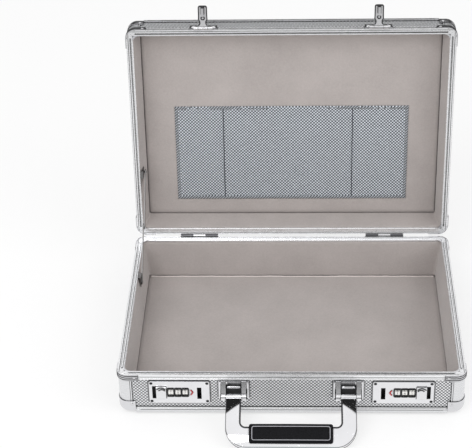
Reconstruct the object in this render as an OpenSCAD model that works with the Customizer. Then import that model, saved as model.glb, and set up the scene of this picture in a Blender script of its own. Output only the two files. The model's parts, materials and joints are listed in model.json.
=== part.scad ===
// Hard case for a laptop: a wooden-panelled tray and lid, framed in aluminium
// extrusions, with ball corners, two number locks, a folding handle, two hinges
// and a folding lid stay. It is drawn open, as it stands on a table.
// X runs across the case, -Y is the handle side, Z is up from the table.

/* [Case] */
// Width of the shell over the extrusions
case_w = 455; // [420:1:520]
// Depth of the shell, handle side to hinge side
case_d = 322; // [290:1:380]
// Height of the tray half
base_h = 66; // [60:1:90]
// Height of the lid half
lid_h = 43; // [40:1:70]
// How far past upright the open lid leans back
lean = 4.6; // [0:0.2:12]
// Gap between the two rims when the case is shut
rim_gap = 0.4; // [0.3:0.1:1]

/* [Frame] */
// Thickness of the laminated wall and bottom boards
board_t = 3; // [2.5:0.1:4]
// Thickness of an extrusion wall
metal_t = 1.2; // [1:0.1:1.5]
// Radius of the four upright corners
corner_r = 13; // [11:0.5:15]
// Height of the flange of a rim rail
rim_flange = 8; // [6:0.5:10]
// Width of the rim face, outside to inside
rim_w = 9; // [8.5:0.1:12]
// Depth of the solid head of a rim rail
rim_head = 3.2; // [3:0.1:4]
// Width of each face of an edge rail
edge_w = 12; // [10:0.5:14]
// Outside radius of an edge rail
edge_r = 6; // [4:0.5:7]
// Reach of a corner post along the wall, from the corner
post_w = 18; // [17:0.5:20]
// Thickness of the pressed corner caps
cap_t = 1.2; // [0.8:0.1:1.5]
// Reach of a ball corner from the corner of the case
ball_reach = 22; // [20:0.5:25]
// Reach of a rim corner along the rim
brace_reach = 27; // [24:0.5:32]
// Radius of a rivet head
rivet_r = 2.1; // [1.5:0.1:2.5]
// Height of a rivet head
rivet_h = 0.9; // [0.6:0.1:1.2]
// Width of the tongue along the tray's rim
tongue_w = 1.6; // [1.2:0.1:2]
// Height of the tongue
tongue_h = 1.2; // [1:0.1:1.4]

/* [Lining] */
// Inset of the padded wall at the floor, from outside
pad_inset = 16; // [14:0.5:18]
// Thickness of the floor and lid lining
floor_pad = 1.8; // [1.2:0.1:3]
// Width of the lid pocket
pocket_w = 336; // [280:1:350]
// Height of the lid pocket
pocket_h = 150; // [110:1:160]
// Thickness of the pocket cloth
pocket_t = 1.6; // [1:0.1:2.5]
// Height of the pocket's lower edge over the lid panel's lower edge
pocket_up = 24; // [15:1:35]
// Width of a hem or seam on the pocket
hem_w = 5; // [3:0.5:8]
// Left divider seam, from the middle of the case
seam_left = 98; // [70:1:110]
// Right divider seam, from the middle of the case
seam_right = 88; // [70:1:110]

/* [Hinges] */
// Distance from the end of the case to the middle of a hinge
hinge_end = 91.5; // [80:0.5:120]
// Width of a hinge
hinge_w = 54; // [40:1:70]
// Radius of the hinge barrel
barrel_r = 2.6; // [2.4:0.1:3.2]
// Radius of the hinge pin
hinge_pin_r = 1.2; // [1:0.1:1.4]
// Height of a hinge leaf
leaf_h = 14; // [10:0.5:20]
// Running clearance on the radius of a turning pin
run = 0.05; // [0.02:0.01:0.08]
// Side gap between knuckles that turn on each other
side_gap = 0.4; // [0.3:0.1:0.8]

/* [Locks] */
// Distance from the end of the case to the middle of a lock's slot
slot_end = 107.1; // [99:0.1:116]
// Width of a lock plate
lock_w = 80.6; // [78:0.2:88]
// Height of a lock plate
lock_h = 37; // [32:0.5:40]
// Thickness of a lock plate
lock_t = 2; // [1.6:0.1:2.4]
// Depth of a lock plate's middle below the rim
lock_down = 28.5; // [26:0.5:34]
// Slot from the plate's inner end
slot_in = 14; // [12:0.5:18]
// Width of the hasp slot
slot_w = 5.8; // [5:0.1:7]
// Height of the hasp slot
slot_h = 19; // [16:0.5:22]
// Drop of the hasp slot's middle below the plate's middle
slot_drop = 1.5; // [0:0.5:3]
// Radius of a number wheel
dial_r = 5.5; // [5:0.1:5.6]
// Width of a number wheel
dial_w = 6.6; // [5:0.1:7]
// Distance between number wheels
dial_pitch = 9.4; // [9:0.1:10.5]
// Distance of the nearest wheel from the hasp slot
dial_off = 18.6; // [17:0.1:21]
// How far the wheels stand out of the plate
dial_proud = 1.3; // [1:0.1:1.6]
// Radius of the wheels' spindle
spindle_r = 1.5; // [1.2:0.1:1.8]
// Width of the thumb slide
slide_w = 13; // [10:0.5:14]
// Height of the thumb slide
slide_h = 20; // [16:0.5:22]
// Travel of the thumb slide
slide_travel = 5; // [3:0.5:5]
// How far the thumb slide stands out of the plate
slide_proud = 3; // [2:0.5:4]
// Depth of the lock's case behind the board's face
lock_depth = 8.5; // [8.4:0.1:8.8]

/* [Hasps] */
// Width of a hasp
hasp_w = 12.8; // [10:0.2:15]
// Length of a hasp from its pin
hasp_l = 33; // [31:0.5:36]
// Thickness of a hasp
hasp_t = 1.5; // [1.2:0.1:1.8]
// Width of a hasp's plate
hasp_plate_w = 38; // [32:1:44]
// Height of a hasp's plate
hasp_plate_h = 12; // [10:0.5:16]
// Distance of a hasp pin in front of the shell
hasp_out = 3.6; // [3.4:0.1:4.2]
// Distance of a hasp pin past the lid's rim
hasp_past = 3; // [2.8:0.1:4]
// Radius of a hasp pin
hasp_pin_r = 1.2; // [1:0.1:1.4]
// Height of the hasp's staple
staple_h = 12; // [10:0.5:14]
// Depth of the hasp's staple
staple_d = 8; // [7:0.5:8.5]

/* [Handle] */
// Space between a lock plate and a handle bracket
lock_space = 11; // [6:0.5:24]
// Width of a handle arm
arm_w = 20; // [16:0.5:24]
// Thickness of a handle arm
arm_t = 6; // [5:0.5:7]
// Reach of the handle from its pin
reach = 71; // [65:1:85]
// Depth of the handle's grip bar
bar_d = 26.5; // [26:1:36]
// Outside radius of the handle's corners
handle_r = 27; // [20:1:30]
// Space between the grip's end and the arm
grip_in = 10.5; // [5:0.5:14]
// Thickness of the black grip
grip_t = 11; // [9:0.5:12]
// Width of the bright edge left past the grip
grip_edge = 4.5; // [3:0.5:6]
// Height of a handle bracket
bracket_h = 29; // [26:0.5:32]
// Depth of a handle bracket's middle below the rim
bracket_down = 23; // [22:0.5:26]
// Thickness of a bracket's cheek
cheek_t = 6; // [4:0.5:7]
// Radius of the handle's pins
arm_pin_r = 2; // [1.6:0.1:2.4]
// Distance of the handle's pins in front of the shell
arm_out = 8; // [7.5:0.5:10]
// Depth of the handle's pins below the rim
arm_down = 30; // [28:0.5:33]
// Angle of the handle below level as it lies on the table
handle_dip = 28; // [10:1:28]

/* [Stay] */
// Distance of the stay's end pins from the hinge line, along the rims
stay_run = 100; // [80:1:120]
// Distance of the stay's end pins inside the rims
stay_in = 12; // [11:0.5:14]
// Width of a stay link
link_w = 8; // [6:0.5:9]
// Thickness of a stay link
link_t = 1.2; // [1:0.1:1.6]
// Distance of the outer link from the outside of the case
link_out = 13.4; // [13.2:0.1:14]

/* [Hidden] */
$fn = 48;
eps = 0.01;
mitre_gap = 0.08;

// Heights: the ball corners stand on the table, so the shell starts cap_t above it
rim_z = cap_t + base_h;
hinge_y = case_d / 2 + barrel_r + 0.1;
hinge_z = rim_z + rim_gap / 2;
hinge_x = case_w / 2 - hinge_end;
leaf_t = 1.2;
// Boards sit behind the flanges, linings behind the boards' inner legs
leg_t = 1;
board_in = metal_t + board_t;
leg_in = board_in + leg_t;
floor_z = metal_t + board_t + floor_pad;
// Lock layout, measured inwards from the slot: u is depth behind the shell's face
slot_x = case_w / 2 - slot_end;
slide_off = 15.2;
arm_side = 0.4;
bracket_ear = 4;
bracket_w = arm_w + 2 * (arm_side + cheek_t + bracket_ear);
arm_x = slot_x - slot_in - lock_space - bracket_w / 2;
grip_l = 2 * (arm_x - arm_w / 2 - grip_in);
lock_mid = slot_x - slot_in + lock_w / 2;
slide_mid = slot_x + dial_off + 2 * dial_pitch + slide_off;
spindle_l = 3 * dial_pitch + 1.6;
slide_room = slide_w + slide_travel + 0.6;
plate_face = metal_t - lock_t;
dial_u = plate_face - dial_proud + dial_r;
lock_gap = 0.3;
lock_side = 4;
lock_brow = 7;
screw_in = 3.6;
slide_dish = 17.6;
line_w = 0.9;
line_t = 0.45;
soft_edge = 0.7;
hasp_dome_r = 4;
hasp_dome_h = 1.7;
// Stay: both links are equal and lie in line when the lid stands open
stay_pin_r = 1.8;
stay_reach = norm([stay_run, stay_in]);
stay_open = 90 + lean + 2 * atan(stay_in / stay_run);
link_l = stay_reach * sin(stay_open / 2);
link_gap = 0.3;
stay_x = -case_w / 2 + link_out;
stay_upper_x = stay_x + link_t + link_gap;
stay_angle = 90 - stay_open / 2 + atan(stay_in / stay_run);

metal = [0.82, 0.83, 0.85];
bright = [0.93, 0.93, 0.95];
board_colour = [0.7, 0.71, 0.73];
cloth = [0.67, 0.64, 0.62];
dark = [0.12, 0.12, 0.13];

function run_of(i) = i % 2 == 0 ? case_w : case_d;
function out_of(i) = (i % 2 == 0 ? case_d : case_w) / 2;

// ---- Placing -------------------------------------------------------------

// A profile (inwards, upwards) swept along side i: 0 front, 1 right, 2 rear, 3 left
module along(i, trim) {
    rotate([0, 0, 90 * i])
        translate([-run_of(i) / 2 + trim, -out_of(i), 0])
            rotate([90, 0, 90])
                linear_extrude(run_of(i) - 2 * trim) children();
}

// The plan wedge that mitres side i at its ends, with a hair's breadth between sides
module mitre(i, w, h) {
    half = run_of(i) / 2 - mitre_gap;
    rotate([0, 0, 90 * i])
        linear_extrude(h)
            polygon([
                [-half, -out_of(i)], [half, -out_of(i)],
                [half - w, -out_of(i) + w], [-half + w, -out_of(i) + w]
            ]);
}

// Children drawn at the front left corner, repeated at all four
module at_corners() {
    for (sx = [0, 1], sy = [0, 1])
        mirror([sx, 0, 0]) mirror([0, sy, 0])
            translate([-case_w / 2, -case_d / 2, 0]) children();
}

module on_base() {
    translate([0, 0, cap_t]) children();
}

// A half drawn as a tray, turned over onto the base and then swung open
module on_lid() {
    translate([0, hinge_y, hinge_z])
        rotate([-90 - lean, 0, 0])
            translate([0, -hinge_y, -hinge_z])
                translate([0, 0, rim_z + rim_gap + lid_h])
                    mirror([0, 0, 1]) children();
}

module both_sides() {
    for (s = [0, 1]) mirror([s, 0, 0]) children();
}

// One of a pair, drawn on the left
module on_side(side) {
    mirror([side == "right" ? 1 : 0, 0, 0]) children();
}

module slab(w, d, h, r) {
    linear_extrude(h) {
        square([w - 2 * r, d], center = true);
        square([w, d - 2 * r], center = true);
        for (x = [-1, 1], y = [-1, 1])
            translate([x * (w / 2 - r), y * (d / 2 - r)]) circle(r);
    }
}

// A low dome, standing on z = 0
module rivet(r = rivet_r, h = rivet_h) {
    ball = (r * r + h * h) / (2 * h);
    intersection() {
        translate([0, 0, h - ball]) sphere(ball);
        cylinder(r = r + 1, h = h);
    }
}

// ---- One half of the shell, drawn as a tray standing on z = 0 ---------------

module floor_board() {
    inner = metal_t + board_t + 4.3;
    color(board_colour) translate([0, 0, metal_t]) {
        linear_extrude(board_t) {
            square([case_w - 2 * edge_r, case_d - 2 * ball_reach], center = true);
            square([case_w - 2 * ball_reach, case_d - 2 * edge_r], center = true);
        }
        slab(case_w - 2 * inner, case_d - 2 * inner, board_t, edge_r);
    }
}

// Wall board, stepped up at its ends to clear the ball corners
module wall_board(i, h) {
    clear = edge_r + 2.2;
    color(board_colour) {
        along(i, ball_reach)
            translate([metal_t, edge_r]) square([board_t, h - rim_head - edge_r]);
        along(i, corner_r)
            translate([metal_t, clear]) square([board_t, h - rim_head - clear]);
    }
}

// A fine V cut along a rail, its mouth centred on the origin and facing -x
module line_cut() {
    polygon([[-eps, -line_w / 2], [line_t, 0], [-eps, line_w / 2]]);
}

// Channel that holds the boards: outer flange, inner leg and solid head
module rim_rail(i, h, grooved) {
    groove = tongue_w + 0.6;
    difference() {
        union() {
            along(i, corner_r) {
                translate([0, h - rim_flange]) difference() {
                    square([metal_t, rim_flange]);
                    for (z = [rim_flange * 0.25, rim_flange * 0.55]) translate([0, z]) line_cut();
                }
                translate([board_in, h - rim_flange]) square([leg_t, rim_flange]);
            }
            intersection() {
                along(i, 0) translate([0, h - rim_head]) rim_head_profile();
                mitre(i, rim_w, h);
                slab(case_w, case_d, h, corner_r);
            }
        }
        if (grooved && i != 2)
            along(i, corner_r - 1)
                translate([rim_w / 2 + 1 - groove / 2, h - tongue_h]) square([groove, rim_head]);
    }
}

// Solid head with softened edges and a line along its top
module rim_head_profile() {
    difference() {
        polygon([
            [0, 0], [rim_w, 0], [rim_w, rim_head - soft_edge], [rim_w - soft_edge, rim_head],
            [soft_edge, rim_head], [0, rim_head - soft_edge]
        ]);
        translate([rim_w * 0.26, rim_head]) rotate(-90) line_cut();
    }
}

module tongue(i, h) {
    along(i, corner_r + 2)
        translate([rim_w / 2 + 1 - tongue_w / 2, h - eps]) square([tongue_w, tongue_h + eps]);
}

module rim_rails(h, grooved) {
    color(metal)
        for (i = [0:3]) {
            rim_rail(i, h, grooved);
            if (!grooved && i != 2) tongue(i, h);
        }
}

// Rounded outside, two legs that grip each board, and a web between
module edge_profile() {
    difference() {
        union() {
            translate([edge_r, edge_r]) circle(edge_r);
            translate([edge_r, 0]) square([edge_w - edge_r, metal_t]);
            translate([0, edge_r]) square([metal_t, edge_w - edge_r]);
        }
        translate([edge_r, edge_r]) circle(edge_r - metal_t);
        for (m = [0, 1]) mirror([m, -m]) for (z = [edge_w * 0.62, edge_w * 0.84])
            translate([0, z]) line_cut();
        translate([edge_r, metal_t]) square(edge_r * 2);
        translate([metal_t, edge_r]) square(edge_r * 2);
    }
    translate([board_in, board_in]) square([leg_t, edge_w - board_in]);
    translate([board_in, board_in]) square([edge_w - board_in, leg_t]);
    rotate(45) translate([edge_r * (sqrt(2) - 1), -0.5])
        square([(board_in + leg_t / 2) * sqrt(2) - edge_r * (sqrt(2) - 1), 1]);
}

module edge_rails() {
    color(metal)
        for (i = [0:3])
            along(i, ball_reach) edge_profile();
}

module quarter_ring(r, t) {
    translate([corner_r, corner_r])
        intersection() {
            difference() {
                circle(r);
                circle(r - t);
            }
            translate([-r, -r]) square(r);
        }
}

module corner_posts(h) {
    color(metal)
        at_corners() {
            translate([0, 0, corner_r])
                linear_extrude(h - rim_head - corner_r) quarter_ring(corner_r, metal_t);
            translate([0, 0, corner_r])
                linear_extrude(h - rim_flange - corner_r) {
                    for (m = [0, 1]) mirror([m, -m])
                        translate([0, corner_r]) difference() {
                            square([metal_t, post_w - corner_r]);
                            translate([0, (post_w - corner_r) * 0.6]) line_cut();
                        }
                }
        }
}

// Plan of a strip of thickness t round a rim corner, its outside cap_t proud
module strip_plan(t) {
    quarter_ring(corner_r + cap_t, t);
    for (m = [0, 1]) mirror([m, -m])
        translate([corner_r, -cap_t]) square([brace_reach - corner_r, t]);
}

// Pressed strip that wraps the rim's corner, with two lines round it
module rim_corners(h) {
    strip = rim_flange + 1;
    color(bright)
        at_corners()
            translate([0, 0, h - strip])
                difference() {
                    linear_extrude(strip) strip_plan(cap_t);
                    for (z = [strip * 0.2, strip * 0.82])
                        translate([0, 0, z - line_w / 2]) linear_extrude(line_w) strip_plan(line_t);
                }
}

// A box corner with all three edges rounded, its faces at lo
module ball_block(r, lo) {
    c = lo + r;
    far = ball_reach - c;
    translate([c, c, c]) {
        sphere(r);
        cylinder(r = r, h = far);
        rotate([0, 90, 0]) cylinder(r = r, h = far);
        rotate([-90, 0, 0]) cylinder(r = r, h = far);
        translate([-r, 0, 0]) cube([r + far, far, far]);
        translate([0, -r, 0]) cube([far, r + far, far]);
        translate([0, 0, -r]) cube([far, far, r + far]);
    }
}

module ball_corners() {
    color(bright)
        at_corners()
            intersection() {
                difference() {
                    ball_block(corner_r + cap_t, -cap_t);
                    ball_block(corner_r, 0);
                }
                translate([-2 * cap_t, -2 * cap_t, -2 * cap_t]) cube(ball_reach + 2 * cap_t);
            }
}

module shell_rivets(h) {
    cap = 4.5;
    color(bright)
        at_corners()
            for (m = [0, 1])
                mirror([m, -m, 0]) {
                    for (z = [ball_reach - cap, h - rim_flange / 2])
                        translate([z < h / 2 ? ball_reach - cap : brace_reach - cap, -cap_t, z])
                            rotate([90, 0, 0]) rivet();
                }
}

// Padded walls, thicker at the floor than at the rim, mitred at the corners
module wall_lining(h) {
    color(cloth)
        for (i = [0:3])
            intersection() {
                along(i, 0)
                    polygon([
                        [leg_in, floor_z], [pad_inset, floor_z],
                        [rim_w, h - rim_head], [leg_in, h - rim_head]
                    ]);
                mitre(i, pad_inset + 1, h);
            }
}

module floor_lining() {
    color(cloth)
        translate([0, 0, metal_t + board_t])
            linear_extrude(floor_pad)
                square([case_w - 2 * edge_w - 0.4, case_d - 2 * edge_w - 0.4], center = true);
}

// ---- Tray ------------------------------------------------------------------

module bottom_board() { on_base() floor_board(); }

// Room for both lock cases, cut through the board and into the lining
module lock_room() {
    both_sides()
        translate([-lock_mid, -case_d / 2, base_h - lock_down])
            rotate([90, 0, 0])
                translate([0, 0, -lock_depth - metal_t - lock_gap])
                    linear_extrude(lock_depth + lock_gap + 2 * metal_t)
                        square([lock_w - 2 * lock_side + 2 * lock_gap,
                            lock_h - 2 * lock_brow + 2 * lock_gap], center = true);
}

module base_front_board() {
    on_base() difference() {
        wall_board(0, base_h);
        lock_room();
    }
}

module base_rear_board() { on_base() wall_board(2, base_h); }
module base_side_boards() { on_base() for (i = [1, 3]) wall_board(i, base_h); }
module base_rim_rails() { on_base() rim_rails(base_h, false); }
module base_edge_rails() { on_base() edge_rails(); }
module base_corner_posts() { on_base() corner_posts(base_h); }
module base_rim_corners() { on_base() rim_corners(base_h); }
module base_ball_corners() { on_base() ball_corners(); }
module base_rivets() { on_base() shell_rivets(base_h); }

module base_wall_lining() {
    on_base() difference() {
        wall_lining(base_h);
        color(cloth) lock_room();
    }
}

module base_floor_lining() { on_base() floor_lining(); }

// ---- Lid -------------------------------------------------------------------

module top_board() { on_lid() floor_board(); }
module lid_front_board() { on_lid() wall_board(0, lid_h); }
module lid_rear_board() { on_lid() wall_board(2, lid_h); }
module lid_side_boards() { on_lid() for (i = [1, 3]) wall_board(i, lid_h); }
module lid_rim_rails() { on_lid() rim_rails(lid_h, true); }
module lid_edge_rails() { on_lid() edge_rails(); }
module lid_corner_posts() { on_lid() corner_posts(lid_h); }
module lid_rim_corners() { on_lid() rim_corners(lid_h); }
module lid_ball_corners() { on_lid() ball_corners(); }
module lid_rivets() { on_lid() shell_rivets(lid_h); }
module lid_wall_lining() { on_lid() wall_lining(lid_h); }
module lid_panel_lining() { on_lid() floor_lining(); }

pocket_y = case_d / 2 - pad_inset - pocket_up - pocket_h / 2;

module lid_pocket() {
    color([0.6, 0.65, 0.7]) on_lid()
        translate([0, pocket_y, floor_z])
            slab(pocket_w, pocket_h, pocket_t, 3);
}

module pocket_hems() {
    color([0.55, 0.6, 0.66]) on_lid()
        translate([0, pocket_y, floor_z + pocket_t])
            linear_extrude(0.8) {
                for (s = [-1, 1])
                    translate([0, s * (pocket_h - hem_w) / 2])
                        square([pocket_w, hem_w], center = true);
                for (x = [-seam_left, seam_right])
                    translate([x, 0]) square([hem_w, pocket_h], center = true);
            }
}

// ---- Hinges ----------------------------------------------------------------

// Knuckle n of three: the outer two belong to the tray, the middle one to the lid
module knuckle(n) {
    w = hinge_w / 3;
    trim = n == 1 ? side_gap / 2 : 0;
    translate([(n - 1) * w - w / 2 + trim, 0, 0])
        rotate([0, 90, 0]) cylinder(r = barrel_r, h = w - 2 * trim);
    // the neck joins the barrel to its leaf
    translate([(n - 1) * w - w / 2 + trim, -barrel_r - 0.1, -barrel_r])
        cube([w - 2 * trim, leaf_t, barrel_r]);
}

module hinge_leaf(knuckles) {
    difference() {
        union() {
            for (n = knuckles) knuckle(n);
            translate([-hinge_w / 2, -barrel_r - 0.1, -leaf_h - rim_gap / 2])
                cube([hinge_w, leaf_t, leaf_h - 0.2]);
        }
        for (n = [0:2])
            if (len([for (k = knuckles) if (k == n) 1]) == 0)
                translate([(n - 1.5) * hinge_w / 3 - side_gap / 2, -barrel_r - 0.2, -barrel_r - 0.4])
                    cube([hinge_w / 3 + side_gap, barrel_r + leaf_t, barrel_r * 2 + 0.8]);
        translate([-hinge_w / 2 - 1, 0, 0])
            rotate([0, 90, 0])
                cylinder(r = hinge_pin_r + run, h = hinge_w + 2);
    }
    for (x = [-1, 1])
        translate([x * hinge_w * 0.32, leaf_t - barrel_r - 0.1, -leaf_h * 0.68])
            rotate([-90, 0, 0]) rivet();
}

module hinge_base_leaves() {
    color(bright)
        both_sides() translate([-hinge_x, hinge_y, hinge_z]) hinge_leaf([0, 2]);
}

module hinge_lid_leaves() {
    color(bright)
        both_sides()
            translate([-hinge_x, hinge_y, hinge_z])
                rotate([-90 - lean, 0, 0]) mirror([0, 0, 1]) hinge_leaf([1]);
}

module hinge_pins() {
    color(dark)
        both_sides()
            translate([-hinge_x - hinge_w / 2, hinge_y, hinge_z])
                rotate([0, 90, 0]) {
                    cylinder(r = hinge_pin_r, h = hinge_w);
                    for (z = [-0.8, hinge_w]) translate([0, 0, z]) cylinder(r = barrel_r - 0.4, h = 0.8);
                }
}

// ---- Locks, drawn on the left: x along the case, y outwards, z up ------------

// Moves lock features from the shell's front face; out is positive
module lock_frame(x, out) {
    translate([-x, -case_d / 2 - out, rim_z - lock_down]) children();
}

module lock_plate(side) {
    color(bright) on_side(side)
        difference() {
            union() {
                lock_frame(lock_mid, plate_face * -1)
                    rotate([-90, 0, 0]) {
                        slab(lock_w - 2 * soft_edge, lock_h - 2 * soft_edge, lock_t, 3 - soft_edge);
                        translate([0, 0, soft_edge])
                            slab(lock_w, lock_h, lock_t - soft_edge, 3);
                    }
                // raised surround of the wheels
                lock_frame(slot_x + dial_off + dial_pitch, plate_face * -1 + 0.6)
                    rotate([-90, 0, 0]) slab(3 * dial_pitch + 1, 2 * dial_r + 2, 0.6, 2);
            }
            for (k = [0:2])
                lock_frame(slot_x + dial_off + k * dial_pitch, 4)
                    translate([-dial_w / 2 - 0.3, 0, -dial_r])
                        cube([dial_w + 0.6, 8, 2 * dial_r]);
            lock_frame(slot_x, 4)
                translate([-slot_w / 2, 0, -slot_drop - slot_h / 2]) cube([slot_w, 8, slot_h]);
            lock_frame(slide_mid, 4)
                translate([-slide_room / 2, 0, -slide_h / 2 - 0.3])
                    cube([slide_room, 8, slide_h + 0.6]);
            for (x = [-1, 1], z = [-1, 1])
                lock_frame(lock_mid + x * (lock_w / 2 - screw_in), 4)
                    translate([0, 0, z * (lock_h / 2 - screw_in)])
                        rotate([-90, 0, 0]) cylinder(r = 1.3, h = 8);
        }
}

// Box behind the plate, hollow for the wheels, the staple and the slide
module lock_case(side) {
    color(metal) on_side(side)
        difference() {
            lock_frame(lock_mid, -metal_t)
                rotate([-90, 0, 0])
                    linear_extrude(lock_depth)
                        square([lock_w - 2 * lock_side, lock_h - 2 * lock_brow], center = true);
            lock_frame(slot_x + dial_off + dial_pitch, -metal_t + 1)
                translate([-1.5 * dial_pitch, 0, -dial_r - 0.6])
                    cube([3 * dial_pitch, dial_u + dial_r + 0.3 - metal_t + 1, 2 * dial_r + 1.2]);
            lock_frame(slot_x, -metal_t + 1)
                translate([-slot_w / 2 - 0.2, 0, -slot_drop - slot_h / 2])
                    cube([slot_w + 0.4, lock_depth - 0.2, slot_h]);
            lock_frame(slide_mid, -metal_t + 1)
                translate([-slide_room / 2, 0, -slide_h / 2 - 0.3])
                    cube([slide_room, 4, slide_h + 0.6]);
            lock_frame(slot_x + dial_off + dial_pitch, -dial_u)
                rotate([0, 90, 0])
                    cylinder(r = spindle_r, h = spindle_l, center = true);
        }
}

module dial_spindle(side) {
    color(dark) on_side(side)
        lock_frame(slot_x + dial_off + dial_pitch, -dial_u)
            rotate([0, 90, 0])
                cylinder(r = spindle_r, h = spindle_l, center = true);
}

// A wheel with ten flats between grooves
module dial(side, n) {
    color(dark) on_side(side)
        lock_frame(slot_x + dial_off + n * dial_pitch, -dial_u)
            rotate([0, 90, 0])
                difference() {
                    cylinder(r = dial_r, h = dial_w, center = true);
                    cylinder(r = spindle_r + run, h = dial_w + 1, center = true);
                    for (k = [0:9])
                        rotate([0, 0, 36 * k + 18])
                            translate([dial_r + 0.5, 0, 0]) cylinder(r = 1, h = dial_w + 1, center = true);
                }
}

// Thumb slide: a foot behind the plate's window and a dished pad in front
module thumb_slide(side) {
    color(bright) on_side(side)
        difference() {
            lock_frame(slide_mid - slide_travel / 2, slide_proud - plate_face)
                translate([-slide_w / 2, 0, -slide_h / 2])
                    cube([slide_w, slide_proud - plate_face + metal_t + 2.4, slide_h]);
            lock_frame(slide_mid - slide_travel / 2, slide_proud - plate_face + slide_dish - 1.6)
                cylinder(r = slide_dish, h = slide_h + 1, center = true, $fn = 96);
        }
}

module lock_screws() {
    color(dark)
        both_sides()
            for (x = [-1, 1], z = [-1, 1])
                lock_frame(lock_mid + x * (lock_w / 2 - screw_in), plate_face * -1)
                    translate([0, 0, z * (lock_h / 2 - screw_in)])
                        rotate([-90, 0, 0]) {
                            cylinder(r = 1.3, h = lock_t);
                            rotate([180, 0, 0]) rivet();
                        }
}

// ---- Hasps, on the lid's front rim -----------------------------------------

// Hasp frame at rest: x along the pin, y out of the rim, z away from the case
module hasp_frame() {
    on_lid() translate([-slot_x, -case_d / 2 - hasp_out, lid_h + hasp_past]) children();
}

module hasp_plate(side) {
    w = hasp_plate_w;
    ear = (w - hasp_w) / 4;
    color(bright) on_side(side) hasp_frame()
        difference() {
            union() {
                translate([-w / 2, hasp_out - hasp_t, -hasp_past - hasp_plate_h - 0.6])
                    cube([w, hasp_t, hasp_plate_h]);
                for (x = [-1, 1])
                    translate([x * (hasp_w / 2 + side_gap + ear / 2), 0, 0]) {
                        rotate([0, 90, 0]) cylinder(r = hasp_pin_r + 1.3, h = ear, center = true);
                        translate([-ear / 2, 0, -hasp_past - 2.6]) cube([ear, hasp_out - hasp_t + eps, hasp_past + 2]);
                    }
                for (x = [-1, 1])
                    translate([x * (w / 2 - 6), hasp_out - hasp_t, -hasp_past - hasp_plate_h / 2 - 0.6])
                        rotate([90, 0, 0]) rivet(hasp_dome_r, hasp_dome_h);
            }
            rotate([0, 90, 0]) cylinder(r = hasp_pin_r, h = w, center = true);
        }
}

module hasp_pins() {
    ear = (hasp_plate_w - hasp_w) / 4;
    color(dark) both_sides() hasp_frame()
        rotate([0, 90, 0])
            cylinder(r = hasp_pin_r, h = hasp_w + 2 * side_gap + 2 * ear, center = true);
}

// A tab with a waist, drawn downwards from its pin
module hasp_outline() {
    difference() {
        union() {
            translate([-hasp_w / 2, 3 - hasp_l]) square([hasp_w, hasp_l - 3]);
            translate([3 - hasp_w / 2, -hasp_l]) square([hasp_w - 6, hasp_l]);
            for (x = [-1, 1]) translate([x * (hasp_w / 2 - 3), 3 - hasp_l]) circle(3);
        }
        for (x = [-1, 1]) translate([x * (hasp_w / 2 + 3.4), -8.5]) circle(5);
    }
}

// Hasp with the staple that the lock's bolt catches
module hasp(side) {
    staple_mid = lock_down + slot_drop - hasp_past - 0.8;
    staple_w = slot_w - 2.4;
    color(bright) on_side(side) hasp_frame()
        difference() {
            union() {
                rotate([0, 90, 0]) cylinder(r = hasp_pin_r + 1.2, h = hasp_w, center = true);
                translate([0, 0, -hasp_t / 2]) linear_extrude(hasp_t) hasp_outline();
                translate([-staple_w / 2, -staple_mid - staple_h / 2, 0])
                    cube([staple_w, staple_h, staple_d + hasp_t / 2]);
            }
            rotate([0, 90, 0]) cylinder(r = hasp_pin_r + run, h = hasp_w + 1, center = true);
            translate([0, -staple_mid, hasp_t / 2 + staple_d * 0.55])
                rotate([0, 90, 0]) cylinder(r = 2.4, h = hasp_w, center = true);
        }
}

// ---- Handle ----------------------------------------------------------------

// Handle frame: x along the case, y back along the arms, z across them
module handle_place() {
    translate([0, -case_d / 2 - arm_out, rim_z - arm_down])
        rotate([handle_dip, 0, 0]) children();
}

arch_rise = 6;
arch_r = (reach * reach / 4 + arch_rise * arch_rise) / (2 * arch_rise);

// Side view of the handle's bow: a band of thickness t from y = -to to y = -from
module bow(t, from, to) {
    intersection() {
        translate([-reach / 2, arch_rise - arch_r])
            difference() {
                circle(arch_r + t / 2, $fn = 180);
                circle(arch_r - t / 2, $fn = 180);
            }
        translate([-to, -2 * t]) square([to - from, 6 * t]);
    }
}

module handle_outline() {
    half = arm_x + arm_w / 2;
    inner = arm_x - arm_w / 2;
    difference() {
        union() {
            translate([-half, handle_r - reach]) square([2 * half, reach - handle_r]);
            translate([handle_r - half, -reach]) square([2 * (half - handle_r), handle_r]);
            for (x = [-1, 1])
                translate([x * (half - handle_r), handle_r - reach]) circle(handle_r);
        }
        translate([-inner, bar_d - reach + 6]) square([2 * inner, reach]);
        translate([6 - inner, bar_d - reach]) square([2 * inner - 12, reach]);
        for (x = [-1, 1])
            translate([x * (inner - 6), bar_d - reach + 6]) circle(6);
    }
}

module bow_sweep(l) {
    translate([-l / 2, 0, 0]) rotate([90, 0, 90]) linear_extrude(l) children();
}

module handle_frame() {
    color(bright) handle_place()
        difference() {
            union() {
                intersection() {
                    translate([0, 0, -20]) linear_extrude(50) handle_outline();
                    bow_sweep(2 * arm_x + 2 * arm_w) bow(arm_t, 0, reach);
                }
                for (x = [-1, 1])
                    translate([x * arm_x, 0, 0])
                        rotate([0, 90, 0]) cylinder(r = arm_pin_r + 2.4, h = arm_w, center = true);
            }
            rotate([0, 90, 0])
                cylinder(r = arm_pin_r + run, h = 2 * arm_x + 2 * arm_w, center = true);
        }
}

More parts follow.
